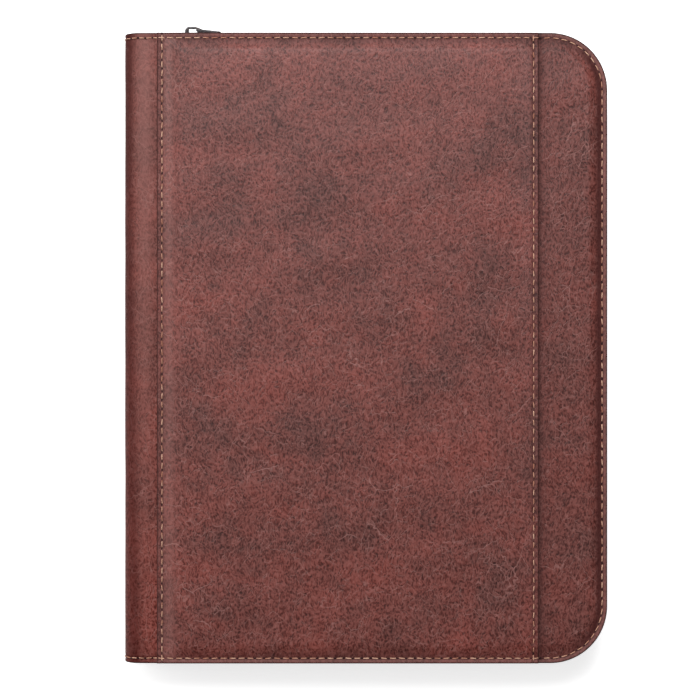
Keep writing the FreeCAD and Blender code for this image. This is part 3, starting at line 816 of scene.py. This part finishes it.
def stitch_item():
    """One arched stitch, with the needle hole half a pitch after it, marked for painted shade."""
    look = settings().thread
    share = [2 * i / (STITCH_STEPS - 1) - 1 for i in range(STITCH_STEPS)]
    centres = [(t * look.long / 2, look.width * (0.30 - 0.62 * t ** 4)) for t in share]
    radii = [look.width / 2 * (1 - 0.30 * t ** 6) for t in share]
    points, faces = tube(centres, radii, 7)
    marks = [0.0] * len(points)
    first, hole_x = len(points), look.pitch / 2
    for k in range(HOLE_SIDES):
        angle = 2 * math.pi * k / HOLE_SIDES
        points.append((hole_x + math.cos(angle) * HOLE_SIZE[0], math.sin(angle) * HOLE_SIZE[1], -0.10 * MM))
    points += [(hole_x, 0, 0.015 * MM), (hole_x, 0, -0.3 * MM)]
    top, low = first + HOLE_SIDES, first + HOLE_SIDES + 1
    for k in range(HOLE_SIDES):
        a, b = first + k, first + (k + 1) % HOLE_SIDES
        faces += [(a, b, top), (b, a, low)]
    return item_object("stitch", points, faces, marks + [1.0] * (HOLE_SIDES + 2))


def coil_item():
    """One turn of the nylon coil: an oval ring of wire, leaning forward as a helix does."""
    look = settings().zip
    lo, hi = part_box("zip_coil_back")
    tall = COIL_DEPTH / 2 - look.wire
    wide = (hi.z - lo.z) / 2 + 0.38 * MM - look.wire
    turns, sides = 10, 5
    points, faces = [], []
    for i in range(turns):
        angle = 2 * math.pi * i / turns
        lean = look.pitch * 0.28 * math.sin(angle)
        centre = Vector((lean, math.cos(angle) * wide, math.sin(angle) * tall))
        out = Vector((0, math.cos(angle), math.sin(angle)))
        for k in range(sides):
            around = 2 * math.pi * k / sides
            points.append(centre + (out * math.cos(around) + Vector((1, 0, 0)) * math.sin(around)) * look.wire)
            a, b = i * sides + k, i * sides + (k + 1) % sides
            ahead = (i + 1) % turns * sides
            faces.append((a, b, ahead + (k + 1) % sides, ahead + k))
    return item_object("coil_turn", points, faces)


# ---- leather of the covers ----


def pull_of_row(distance, phase):
    """How much a row of stitches pulls the leather in, deepest at its needle holes."""
    wave = 0.5 - 0.5 * np.cos(2 * math.pi * phase)
    close, wide = bell(distance, SEAM_HALF_WIDTH), bell(distance, 2.4 * SEAM_HALF_WIDTH)
    return close * (0.55 + 0.45 * wave) + 0.35 * wide * (0.4 + 0.6 * wave)


def phase_round(x, y, left, pitch):
    """Stitches counted along the row round the cover's edge."""
    route = Route(left, SEAM_INSET)
    u, v = x - (FORE_X - route.radius), np.abs(y) - (HALF_Y - route.radius)
    turn = np.arctan2(np.maximum(u, 0), np.maximum(v, 1e-9)) * (route.radius - route.inset)
    along_head = np.where(u > 0, route.straight + turn, x - left)
    down_side = route.straight + route.arc + HALF_Y - route.radius - y
    return np.where(v > 0, along_head, down_side) / pitch


def relief(x, y, cover, rows, left, seed):
    """Height of the leather over its margin's level, and the marks that its finish reads."""
    look, pitch = settings().cover, settings().thread.pitch
    inset = inset_of(x, y, FORE_X, HALF_Y, look.corner)
    padded_in = np.minimum(inset, x - PAD_LEFT + look.margin)
    slope = smoothstep(padded_in, look.margin, look.margin + look.slope)
    height = cover.rise * slope
    if cover.out > 0:
        swell = 1 - np.exp(-np.maximum(padded_in - look.margin, 0) / SWELL_REACH)
        height = height + look.swell * (swell * slope) + ripple(x, y, seed, look.ripple) * slope
    pull = pull_of_row(inset - SEAM_INSET, phase_round(x, y, left, pitch))
    for row in rows:
        pull = np.maximum(pull, pull_of_row(x - row, (y + HALF_Y) / pitch))
    height = height - look.pull_in * pull
    # Painted shade: a band just inside the seam, darker towards the fore edge, where the padding's slope faces
    # away from the light.
    painted_band_shade = bell(inset - SEAM_INSET - 1.5 * MM, 1.3 * MM)
    painted_band_shade = painted_band_shade * (0.30 + 0.65 * smoothstep(x, FORE_X - 16 * MM, FORE_X - 6 * MM))
    # A dark line along the turned edge, with painted shade along the stitch rows.
    dark_edge_and_painted_shadow = bell(np.maximum(inset, 0), RIM_WIDTH) + 0.3 * pull
    if cover.out > 0:
        # Past the pocket's open edge: a painted shadow line, and painted shade fading away over a few
        # millimetres.
        past_pocket, beyond = np.maximum(x - POCKET_RIGHT, 0), x > POCKET_RIGHT
        painted_band_shade = np.maximum(painted_band_shade, 0.38 * bell(past_pocket, 4.0 * MM) * beyond)
        dark_edge_and_painted_shadow = dark_edge_and_painted_shadow + bell(past_pocket - 0.1 * MM, 0.5 * MM) * beyond
    # Painted shade along the stitch rows goes into the first two marks.
    marks = {
        "burnish": np.clip(painted_band_shade + 0.3 * pull, 0, 1),
        "rim": np.clip(dark_edge_and_painted_shadow, 0, 1),
        # painted highlight on the margin outside the seam
        "rub": 1.7 * bell(inset - 1.1 * MM, 0.8 * MM),
    }
    return height, marks, inset


def cover_leather(cover):
    """The padded leather of one cover, from its seam at the spine to the fore edge, with turned edges."""
    look = settings().cover
    near = edge_places(look.roll, 10.5 * MM)
    if cover.out > 0:
        left, seed, rows = BENEATH_POCKET, 3, []
        hidden = lines(left, POCKET_RIGHT - 8 * MM, 7 * MM)
        xs = np.concatenate([hidden, lines(POCKET_RIGHT - 8 * MM, FORE_X, look.step, (), near)[1:]])
    else:
        left, seed, rows = POCKET_LEFT, 8, [LEFT_ROW_X]
        xs = lines(left, FORE_X, look.step * 1.35, edge_places(look.roll), near)
    ys = lines(-HALF_Y, HALF_Y, look.step, near, near)
    x, y = rounded(*np.meshgrid(xs, ys), FORE_X, HALF_Y, look.corner)
    height, marks, inset = relief(x, y, cover, rows, left, seed)
    drop = roll_drop(inset, look.roll)
    if cover.out < 0:
        height = height + BACK_LAP * (1 - smoothstep(x - left, 4 * MM, 7 * MM))
        drop = np.maximum(drop, roll_drop(x - left, look.roll))
        marks["rim"] = np.maximum(marks["rim"], bell(x - left, 0.5 * MM))
    board_x, board_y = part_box(f"{cover.side}_board")[0].x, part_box(f"{cover.side}_board")[1].y
    hollow = BOARD_HOLLOW * ((x > board_x - MM) & (inset > HALF_Y - board_y - MM))
    outer = np.stack([x, y, cover.margin + cover.out * (height - drop)], -1)
    inner = np.stack([x, y, cover.margin - cover.out * (abs(cover.under - cover.margin) - drop - hollow)], -1)
    mesh = shell(f"{cover.side}_cover_leather", outer, inner, marks)
    replaced = (f"{cover.side}_outer_panel", f"{cover.side}_padding")
    keep(mesh, "leather_cover", cover.body, replaced, SOFT_FOLD)


def pocket_height(x, y):
    """The pocket's outer surface over the front margin's level, and its marks."""
    look = settings().cover
    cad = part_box("front_pocket_panel")
    height, marks, inset = relief(x, y, FRONT, [LEFT_ROW_X, POCKET_ROW_X], POCKET_LEFT, 3)
    lift = look.lift * smoothstep(x, POCKET_RIGHT - 9 * MM, POCKET_RIGHT) * smoothstep(inset, 6 * MM, 16 * MM)
    return height + (cad[1].z - FRONT.crown) + lift, marks, inset


def pocket():
    """The front pocket: a doubled panel, folded along both long edges and open towards the fore edge."""
    look = settings().cover
    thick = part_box("front_pocket_panel")[1].z - FRONT.crown - 0.12 * MM
    near = edge_places(thick / 2)
    xs = lines(POCKET_LEFT, POCKET_RIGHT, look.step, near, near)
    x, y = np.meshgrid(xs, lines(-HALF_Y, HALF_Y, look.step, near, near))
    height, marks, inset = pocket_height(x, y)
    drop = roll_drop(np.minimum(np.minimum(x - POCKET_LEFT, POCKET_RIGHT - x), inset), thick / 2)
    for fold in (POCKET_LEFT, POCKET_RIGHT):
        marks["rim"] = np.maximum(marks["rim"], bell(x - fold, 0.42 * MM))
    # Painted highlight on the padding's slope beside the left seam, which faces the light, with the painted
    # shade taken out there.
    spine_pad = bell(x - LEFT_ROW_X - 3.2 * MM, 3.0 * MM)
    marks["rub"] = np.maximum(marks["rub"], spine_pad * 1.5)
    marks["burnish"] = marks["burnish"] * (1 - spine_pad)
    outer = np.stack([x, y, FRONT.margin + height - drop], -1)
    inner = np.stack([x, y, FRONT.margin + height - thick + drop], -1)
    mesh = shell("front_pocket_leather", outer, inner, marks)
    keep(mesh, "leather_pocket", "front_cover", ("front_pocket_panel",), SOFT_FOLD)


# ---- strips that cross the spine's joints ----
def in_space(pairs, y):
    """Pairs of (x, z) as places or directions, with y between."""
    return np.insert(pairs, 1, y, axis=1)


class Bend:
    """The turn from the spine onto a cover: the X where it starts and ends, and the levels it joins."""

    def __init__(self, cover, face, end_x, level, bend_z):
        self.cover, self.face, self.end_x, self.level, self.bend_z = cover, face, end_x, level, bend_z
        self.radius = abs(level - bend_z)

    def profile(self, past, depth=0.0):
        """Points and outward directions in XZ, from the spine's middle to the X past, at a depth inside."""
        points, ways = [], []
        face, bend_z, radius, out = self.face, self.bend_z, self.radius, self.cover.out
        for z in np.linspace(ZIP_Z, bend_z, 6)[:-1]:
            points.append((face + depth, z))
            ways.append((-1, 0))
        for angle in np.linspace(0, math.pi / 2, 19):
            way = (-math.cos(angle), out * math.sin(angle))
            points.append((face + radius + way[0] * (radius - depth), bend_z + way[1] * (radius - depth)))
            ways.append(way)
        for x in np.linspace(face + radius, past, 9)[1:]:
            points.append((x, bend_z + out * (radius - depth)))
            ways.append((0, out))
        return np.array(points), np.array(ways, float)

    def blend(self, piece):
        """Bakes a piece's place into its mesh. The places where the joint meets the spine and the cover are
        worked out but not used.
        """
        on_spine, on_cover = (self.face, 0, self.bend_z), (self.end_x, 0, self.level)
        if self.cover.out > 0:
            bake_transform(piece)
            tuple(on_spine)
            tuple(on_cover)
        else:
            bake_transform(piece)
            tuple(on_cover)
            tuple(on_spine)


def case_bend(cover):
    return Bend(cover, SPINE_X, FOLD_X, cover.margin, cover.bend_z)


def profile_lengths(points):
    steps = np.hypot(*(points[1:] - points[:-1]).T)
    return np.concatenate([[0], np.cumsum(steps)])


def bend_strip(name, profile, thick, ys, dress=None):
    """A closed strip along Y from a profile. dress may move its outer face and give marks."""
    points, ways = profile
    base = np.stack([in_space(points, y) for y in ys])
    way = np.broadcast_to(in_space(ways, 0), base.shape)
    flat = np.zeros(base.shape[:2])
    raised, marks = dress(base) if dress else (flat, {})
    thickness = thick - marks.pop("roll", flat)
    lengths = np.stack(np.meshgrid(ys, profile_lengths(points), indexing="ij"), -1)
    return shell(name, base + way * raised[..., None], base - way * thickness[..., None], marks, lengths)


def spine_leather(cover):
    """Half of the spine's leather: from the middle of the spine round its bend to the cover's seam."""
    look, pitch = settings().cover, settings().thread.pitch
    past = BENEATH_POCKET if cover.out > 0 else LEFT_ROW_X + 3 * MM
    bend = case_bend(cover)
    profile = bend.profile(past)
    near = edge_places(look.roll)
    along = profile_lengths(profile[0])

    def dress(base):
        """Pulls in the end rows, rolls the ends, and marks painted shade on the wall, towards the foot and
        along the rows, and a painted highlight by the fold, strongest at the head.
        """
        x, y, z = base[..., 0], base[..., 1], base[..., 2]
        inset, to_foot = HALF_Y - np.abs(y), (1 - y / HALF_Y) / 2
        pull = pull_of_row(inset - SEAM_INSET, np.broadcast_to(along / pitch, inset.shape))
        drop = roll_drop(inset, look.roll)
        wall = 1 - smoothstep((x - SPINE_X - 2.6 * MM) / ((3.4 + 5.5 * to_foot ** 2) * MM))
        # Painted shade towards the foot, where the light from over the head falls off.
        painted_foot_shade = to_foot ** 1.5 * bell(x - SPINE_X - 6 * MM, 2.6 * MM)
        marks = {
            # painted shade on the spine's wall, towards the foot and along the rows
            "burnish": np.clip((0.9 - 0.45 * to_foot) * wall + 0.4 * painted_foot_shade + 0.3 * pull, 0, 1),
            "rim": np.clip(bell(inset, RIM_WIDTH) + 0.3 * pull, 0, 1),
            # painted highlight beside the fold, strongest at the head, where the light comes from
            "rub": bell(x - FOLD_X - 1.5 * MM, 5.0 * MM) * (3.2 - 3.1 * to_foot),
            "roll": drop,
        }
        soft = ripple(z * 0.4, y, 21, look.ripple * 0.5)
        soft = np.minimum(soft, 0) if cover.out < 0 else soft * smoothstep(inset, 3 * MM, 10 * MM)
        return -look.pull_in * pull - drop + soft * wall, marks

    ys = lines(-HALF_Y, HALF_Y, look.step * 1.4, near, near)
    mesh = bend_strip(f"spine_leather_{cover.side}", profile, SKIN, ys, dress)
    replaced = ("front_fold",) if cover.out > 0 else ("back_fold", "spine_outer_panel")
    bend.blend(keep(mesh, "leather_spine", None, replaced, SOFT_FOLD))


def spine_linings():
    """The cloth inside the spine, in two halves that meet at its middle."""
    lo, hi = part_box("spine_lining")
    for cover in (FRONT, BACK):
        bend = case_bend(cover)
        profile, ys = bend.profile(FOLD_X, lo.x - SPINE_X), lines(lo.y, hi.y, STRIP_STEP)
        mesh = bend_strip(f"spine_lining_{cover.side}", profile, hi.x - lo.x, ys)
        replaced = ("front_fold_lining",) if cover.out > 0 else ("back_fold_lining", "spine_lining")
        bend.blend(keep(mesh, "spine_lining", None, replaced))


# ---- operators ----
class CASE_OT_leather(bpy.types.Operator):
    """Makes the padded leather of both covers, the front pocket and the spine"""

    bl_idname = "bible_case.leather"
    bl_label = "Leather"

    def execute(self, context):
        for cover in (FRONT, BACK):
            cover_leather(cover)
            spine_leather(cover)
        pocket()
        return {"FINISHED"}


def level_path(x, y, cover, lift=0.0):
    """A row's points on a cover's leather, with their outward directions."""
    ways = np.zeros((len(x), 3))
    ways[:, 2] = cover.out
    z = cover.margin + cover.out * (lift + np.zeros(len(x)))
    return np.stack([x, y, z], -1), ways


def row_round_edge(cover, left, lift):
    """The row along the head, round the fore edge and back along the foot."""
    inset = SEAM_INSET
    route = Route(left, inset)
    x, y, nx, ny = route.at(route.stations(settings().thread.pitch / 2, ROUND_STEPS))
    return level_path(x - nx * inset, y - ny * inset, cover, lift)


def stitched_rows():
    """The rows of stitches on the covers, by the stem of their names: their cover and their paths."""
    look, pitch = settings().cover, settings().thread.pitch
    sunk = -look.pull_in * 0.55
    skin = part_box("front_pocket_panel")[1].z - FRONT.crown
    front = [row_round_edge(FRONT, POCKET_RIGHT, sunk)]
    x = np.linspace(POCKET_LEFT + pitch / 2, POCKET_RIGHT - pitch / 3, 90)
    for end in (-1, 1):
        front.append(level_path(x, np.full(len(x), end * (HALF_Y - SEAM_INSET)), FRONT, skin + sunk))
    long_y = np.linspace(-HALF_Y + 2.6 * MM, HALF_Y - 2.6 * MM, 150)
    left_x, pocket_x = np.full(len(long_y), LEFT_ROW_X), np.full(len(long_y), POCKET_ROW_X)
    pocket_rows = []
    for row_x in (left_x, pocket_x):
        points, ways = level_path(row_x, long_y, FRONT)
        height = pocket_height(row_x, long_y)[0]
        points[:, 2] += skin + sunk + np.maximum(height - skin + look.pull_in * 0.6, 0)
        pocket_rows.append((points, ways))
    return {
        "front_edge": (FRONT, front),
        "front_spine_seam": (FRONT, pocket_rows[:1]),
        "pocket_edge": (FRONT, pocket_rows[1:]),
        "back_edge": (BACK, [row_round_edge(BACK, POCKET_LEFT + 1 * MM, sunk)]),
        "back_spine_seam": (BACK, [level_path(left_x, long_y, BACK, 0.42 * MM + sunk)]),
    }


def spine_end_rows(cover):
    """The rows across both ends of half the spine, round its bend."""
    points, ways = case_bend(cover).profile(POCKET_LEFT - 0.4 * MM)
    directions = in_space(ways, 0)
    sunk = directions * settings().cover.pull_in * 0.55
    return [(in_space(points, end * (HALF_Y - SEAM_INSET)) - sunk, directions) for end in (-1, 1)]


class CASE_OT_stitches(bpy.types.Operator):
    """Sews the rows of stitches on the covers, the pocket and the spine's ends"""

    bl_idname = "bible_case.stitches"
    bl_label = "Stitches"

    def execute(self, context):
        look, item = settings().thread, stitch_item()
        for index, (stem, (cover, paths)) in enumerate(stitched_rows().items()):
            seed = look.seed + index
            mesh = grown(f"{stem}_stitches", paths, item, look.pitch, "thread", STITCH_SWAY, seed)
            keep(mesh, "thread", cover.body, (f"{stem}_thread",), SOFT_FOLD)
        for cover in (FRONT, BACK):
            name, paths = f"spine_end_stitches_{cover.side}", spine_end_rows(cover)
            mesh = grown(name, paths, item, look.pitch * 0.82, "thread", STITCH_SWAY, look.seed + 7)
            replaced = ("spine_end_threads",) if cover.out < 0 else ()
            case_bend(cover).blend(keep(mesh, "thread", None, replaced, SOFT_FOLD))
        bpy.data.objects.remove(item)
        return {"FINISHED"}


class CASE_OT_linings(bpy.types.Operator):
    """Gives the covers and the spine their inner cloth, and the covers their sleeves and boards"""

    bl_idname = "bible_case.linings"
    bl_label = "Linings and sleeves"

    def execute(self, context):
        spine_linings()
        for side in ("front", "back"):
            dress_node(f"{side}_lining", "lining")
            dress_node(f"{side}_sleeve", "leather_sleeve")
            dress_node(f"{side}_board", "board")
        dress_node("spine_board", "board")
        return {"FINISHED"}


def dress_node(name, finish_name):
    """Gives a CAD node its finish."""
    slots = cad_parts[name].material_slots
    if not slots:
        raise RuntimeError(f"{name} has no material slot")
    for each in slots:
        each.link = "OBJECT"
        each.material = finish(finish_name)


def machined(name, look, body, bevel, out_name):
    """A merged copy of a CAD node with softened edges, which stands for it."""
    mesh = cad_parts[name].data.copy()
    mesh.name = out_name

    def join(work):
        bmesh.ops.remove_doubles(work, verts=work.verts, dist=2 * SAME_POINT)
        level = math.radians(0.8)
        bmesh.ops.dissolve_limit(
            work, angle_limit=level, verts=work.verts, edges=work.edges, use_dissolve_boundaries=False
        )

    def soften(work):
        sharp = [e for e in work.edges if e.is_manifold and e.calc_face_angle(0) > math.radians(35)]
        bmesh.ops.bevel(
            work, geom=sharp, offset=bevel, offset_type="OFFSET", segments=3, profile=0.5, affect="EDGES",
            clamp_overlap=True,
        )

    return keep(mended(mesh, join, soften), look, body, (name,), 45)


class CASE_OT_zip(bpy.types.Operator):
    """Makes the zip: woven tapes, nylon coils, end stops, slider and pull"""

    bl_idname = "bible_case.zip"
    bl_label = "Zip"

    def execute(self, context):
        item = coil_item()
        for cover in (FRONT, BACK):
            self.tape(cover)
            self.coil(cover, item)
            stops = f"zip_end_stops_{cover.side}"
            machined(f"zip_stops_{cover.side}", "metal", cover.body, 0.15 * MM, stops)
        bpy.data.objects.remove(item)
        for name, body, bevel, out_name in (
            ("zip_slider", "slider", 0.16 * MM, "zip_slider_body"),
            ("zip_slider_bridge", "slider", 0.22 * MM, "zip_slider_arch"),
            ("zip_pull", "pull", 0.22 * MM, "zip_pull_tab"),
        ):
            machined(name, "metal", body, bevel, out_name)
        return {"FINISHED"}

    def tape(self, cover):
        """A hem inside the cover, turned into a wall that ends under the coil."""
        lo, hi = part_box(f"zip_tape_{cover.side}")
        hem_z, end_z, up = (lo.z, hi.z, 1) if cover.out < 0 else (hi.z, lo.z, -1)
        wall_in, thick = HALF_Y - hi.y, TAPE_THICK
        hem_in = HALF_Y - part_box(f"{cover.side}_board")[1].y - 0.2 * MM
        turn_out = ((0.5 * MM, 0), (0.12 * MM, 0.15 * MM), (0, 0.6 * MM))
        turn_in = ((0.3 * MM, 0), (0.05 * MM, 0.1 * MM), (0, 0.6 * MM))
        outer = [(hem_in, hem_z)] + [(wall_in + x, hem_z + up * z) for x, z in turn_out]
        inner = [(hem_in, hem_z + up * thick)]
        inner += [(wall_in + thick + x, hem_z + up * (thick + z)) for x, z in turn_in]
        for share in (0.2, 0.4, 0.6, 0.8, 1.0):
            belly = 0.35 * MM * math.sin(math.pi * share)
            z = hem_z + (end_z - hem_z) * share
            outer.append((wall_in + belly, z))
            inner.append((wall_in + thick + belly, z))
        mesh = swept(f"zip_tape_weave_{cover.side}", Route(lo.x, 0.0), outer, inner, 4 * MM)
        keep(mesh, "tape", cover.body, (f"zip_tape_{cover.side}",))

    def coil(self, cover, item):
        """Turns of wire along the tape's edge. The front's are half a turn on, between the back's."""
        lo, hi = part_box(f"zip_coil_{cover.side}")
        look = settings().zip
        inset = HALF_Y - hi.y + COIL_DEPTH / 2
        route = Route(lo.x + 0.4 * MM + (0.0 if cover.out < 0 else look.pitch / 2), inset)
        s = route.stations(2 * MM, ROUND_STEPS)
        points = route.points(s, inset, (lo.z + hi.z) / 2 - cover.out * 0.25 * MM)
        nx, ny = route.at(s)[2:]
        path = (points, np.stack([nx, ny, np.zeros(len(s))], -1))
        mesh = grown(f"zip_coil_turns_{cover.side}", [path], item, look.pitch, "coil")
        keep(mesh, "coil", cover.body, (f"zip_coil_{cover.side}",), 80)


def leaves(name, node_name, body, bend):
    """A pack of leaves with rounded corners. Its sides show the leaves' gilded edges."""
    lo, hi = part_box(node_name)
    corner = list(np.linspace(0, PAGE_CORNER, 7))
    xs = lines(lo.x, hi.x, 14 * MM, list(np.linspace(0, bend, 15)), corner)
    ys = lines(lo.y, hi.y, 24 * MM, corner, corner)
    x, y = rounded(*np.meshgrid(xs, ys), hi.x, hi.y, PAGE_CORNER)
    outer, inner = (np.stack([x, y, np.full_like(x, z)], -1) for z in (hi.z, lo.z))
    return keep(shell(name, outer, inner), ("paper", "edges"), body, (node_name,), 30)


class CASE_OT_bible(bpy.types.Operator):
    """Makes the bible: its cover, endpapers, pages, bands, gauze and ribbon"""

    bl_idname = "bible_case.bible"
    bl_label = "Bible"

    def execute(self, context):
        for cover in (FRONT, BACK):
            self.cover(cover)
        turn = settings().bible.turn
        leaves("text_block_pages", "text_block", "back_cover", turn)
        for name in ("page_section_1", "page_section_2", "page_section_3", "page_section_4", "loose_leaf"):
            piece = leaves(f"{name}_pages", name, None, turn)
            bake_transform(piece)
        for name, look in (("spine_cloth", "gauze"), ("headband", "band"), ("tailband", "band")):
            dress_node(name, look)
        for side in ("front", "back"):
            dress_node(f"{side}_endpaper", "endpaper")
        self.ribbon()
        return {"FINISHED"}

    def cover(self, cover):
        """A grained board with softened edges, and half of the spine, which bends at the joint."""
        lo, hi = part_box("bible_spine")
        board = f"bible_{cover.side}_board"
        machined(board, "bible", cover.body, 0.45 * MM, f"{board}_leather")
        low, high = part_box(f"bible_{cover.side}_joint")
        bend_z, level = (low.z, high.z) if cover.out > 0 else (high.z, low.z)
        bend = Bend(cover, lo.x, high.x, level, bend_z)
        reach = bend.radius * math.sqrt(0.5)
        middle_x, middle_z = lo.x + bend.radius - reach, bend_z + cover.out * reach

        def thinned(base):
            """The cover is pared thin in the middle of its joint, so that it opens flat under the pages."""
            away = np.hypot(base[..., 0] - middle_x, base[..., 2] - middle_z)
            return np.zeros_like(away), {"roll": 0.9 * MM * bell(away, 2.2 * MM)}

        profile, ys = bend.profile(high.x + 0.2 * MM), lines(lo.y, hi.y, STRIP_STEP)
        mesh = bend_strip(f"bible_spine_leather_{cover.side}", profile, hi.x - lo.x, ys, thinned)
        replaced = ("bible_front_joint",) if cover.out > 0 else ("bible_back_joint", "bible_spine")
        bend.blend(keep(mesh, "bible", None, replaced))

    def ribbon(self):
        """A satin marker laid down the open page, with a slant cut at its tail."""
        lo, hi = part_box("ribbon_marker")
        x, y = np.meshgrid(np.linspace(lo.x, hi.x, 7), lines(lo.y, hi.y, 3 * MM))
        y = y + (x - lo.x) * 0.6 * (1 - smoothstep(y, lo.y, lo.y + 12 * MM))
        z = np.full_like(x, hi.z)
        outer, inner = np.stack([x, y, z], -1), np.stack([x, y, z - (hi.z - lo.z)], -1)
        mesh = shell("ribbon_satin", outer, inner, lengths=np.stack([x, y], -1))
        piece = keep(mesh, "ribbon", "back_cover", ("ribbon_marker",))


class CASE_OT_stage(bpy.types.Operator):
    """Sets the floor, the lights and the camera"""

    bl_idname = "bible_case.stage"
    bl_label = "Stage"

    def execute(self, context):
        look, scene = settings().stage, context.scene
        self.floor(look)
        self.lamp("key_light", (-0.10, 0.72, 1.30), 0.75, look.key)
        self.lamp("side_light", (-0.95, 0.50, 1.20), 0.9, look.side)
        scene.world = self.room(look)
        scene.view_settings.view_transform = "Standard"
        camera = linked("camera", bpy.data.cameras.new("camera"))
        camera.location = (look.aside, look.down, CAD_BOX[1].z + look.height)
        camera.data.sensor_width = FILM_WIDTH
        camera.data.lens = FILM_WIDTH * look.height / look.width
        camera.data.clip_end = 20.0
        scene.camera = camera
        return {"FINISHED"}

    def room(self, look):
        """Light from all round, brighter overhead than at the horizon."""
        world = bpy.data.worlds.new("room")
        world.use_nodes = True
        tree = world.node_tree
        way = node(tree, "ShaderNodeTexCoord").outputs["Generated"]
        height = Signal(tree, node(tree, "ShaderNodeSeparateXYZ", {0: way}).outputs["Z"])
        sky = tree.nodes["Background"].inputs
        tree.links.new((height.span(0.0, 0.9, 0.55, 1.0) * look.room).socket, sky["Strength"])
        sky["Color"].default_value = (1, 1, 1, 1)
        return world

    def floor(self, look):
        mesh = bpy.data.meshes.new("floor")
        around = ((-1, -1), (1, -1), (1, 1), (-1, 1))
        corners = [(x * FLOOR_REACH, y * FLOOR_REACH, -0.5 * MM) for x, y in around]
        mesh.from_pydata(corners, [], [(0, 1, 2, 3)])
        made = Finish("pale_floor", roughness=0.9, specular_ior_level=0.1, emission_strength=look.glow)
        made.shader.inputs["Emission Color"].default_value = tone(look.floor)
        made.feed("Base Color", made.mix(made.noise(3.0), tone(look.floor), tone(look.floor, 1.03)))
        mesh.materials.append(made.material)
        linked("floor", mesh)

    def lamp(self, name, place, size, power):
        """A square area light that faces the origin."""
        light = bpy.data.lights.new(name, "AREA")
        light.shape, light.size, light.energy = "SQUARE", size, power
        lamp = linked(name, light)
        lamp.location = place
        lamp.rotation_euler = Vector(place).to_track_quat("Z", "Y").to_euler()


MAKERS = (CASE_OT_leather, CASE_OT_stitches, CASE_OT_linings, CASE_OT_zip, CASE_OT_bible, CASE_OT_stage)
GROUPS = (
    CoverSettings, ThreadSettings, ZipSettings, LeatherSettings, BibleSettings, StageSettings, CaseSettings,
)


class CASE_PT_panel(bpy.types.Panel):
    """Lists the pieces' operators and the sizes and colours they read"""

    bl_idname = "CASE_PT_panel"
    bl_label = "Bible Case"
    bl_space_type = "VIEW_3D"
    bl_region_type = "UI"
    bl_category = "Bible Case"

    def draw(self, context):
        for maker in MAKERS:
            self.layout.operator(maker.bl_idname)
        look = context.scene.bible_case
        for part in ("cover", "thread", "zip", "leather", "bible", "stage"):
            box = self.layout.box()
            box.label(text=part.title())
            for key in getattr(look, part).__annotations__:
                box.prop(getattr(look, part), key)


def register():
    for each in (*GROUPS, *MAKERS, CASE_PT_panel):
        bpy.utils.register_class(each)
    bpy.types.Scene.bible_case = PointerProperty(type=CaseSettings)


def unregister():
    del bpy.types.Scene.bible_case
    for each in reversed((*GROUPS, *MAKERS, CASE_PT_panel)):
        bpy.utils.unregister_class(each)


def main():
    register()
    for maker in MAKERS:
        family, name = maker.bl_idname.split(".")
        getattr(getattr(bpy.ops, family), name)()


if __name__ == "__main__":
    main()
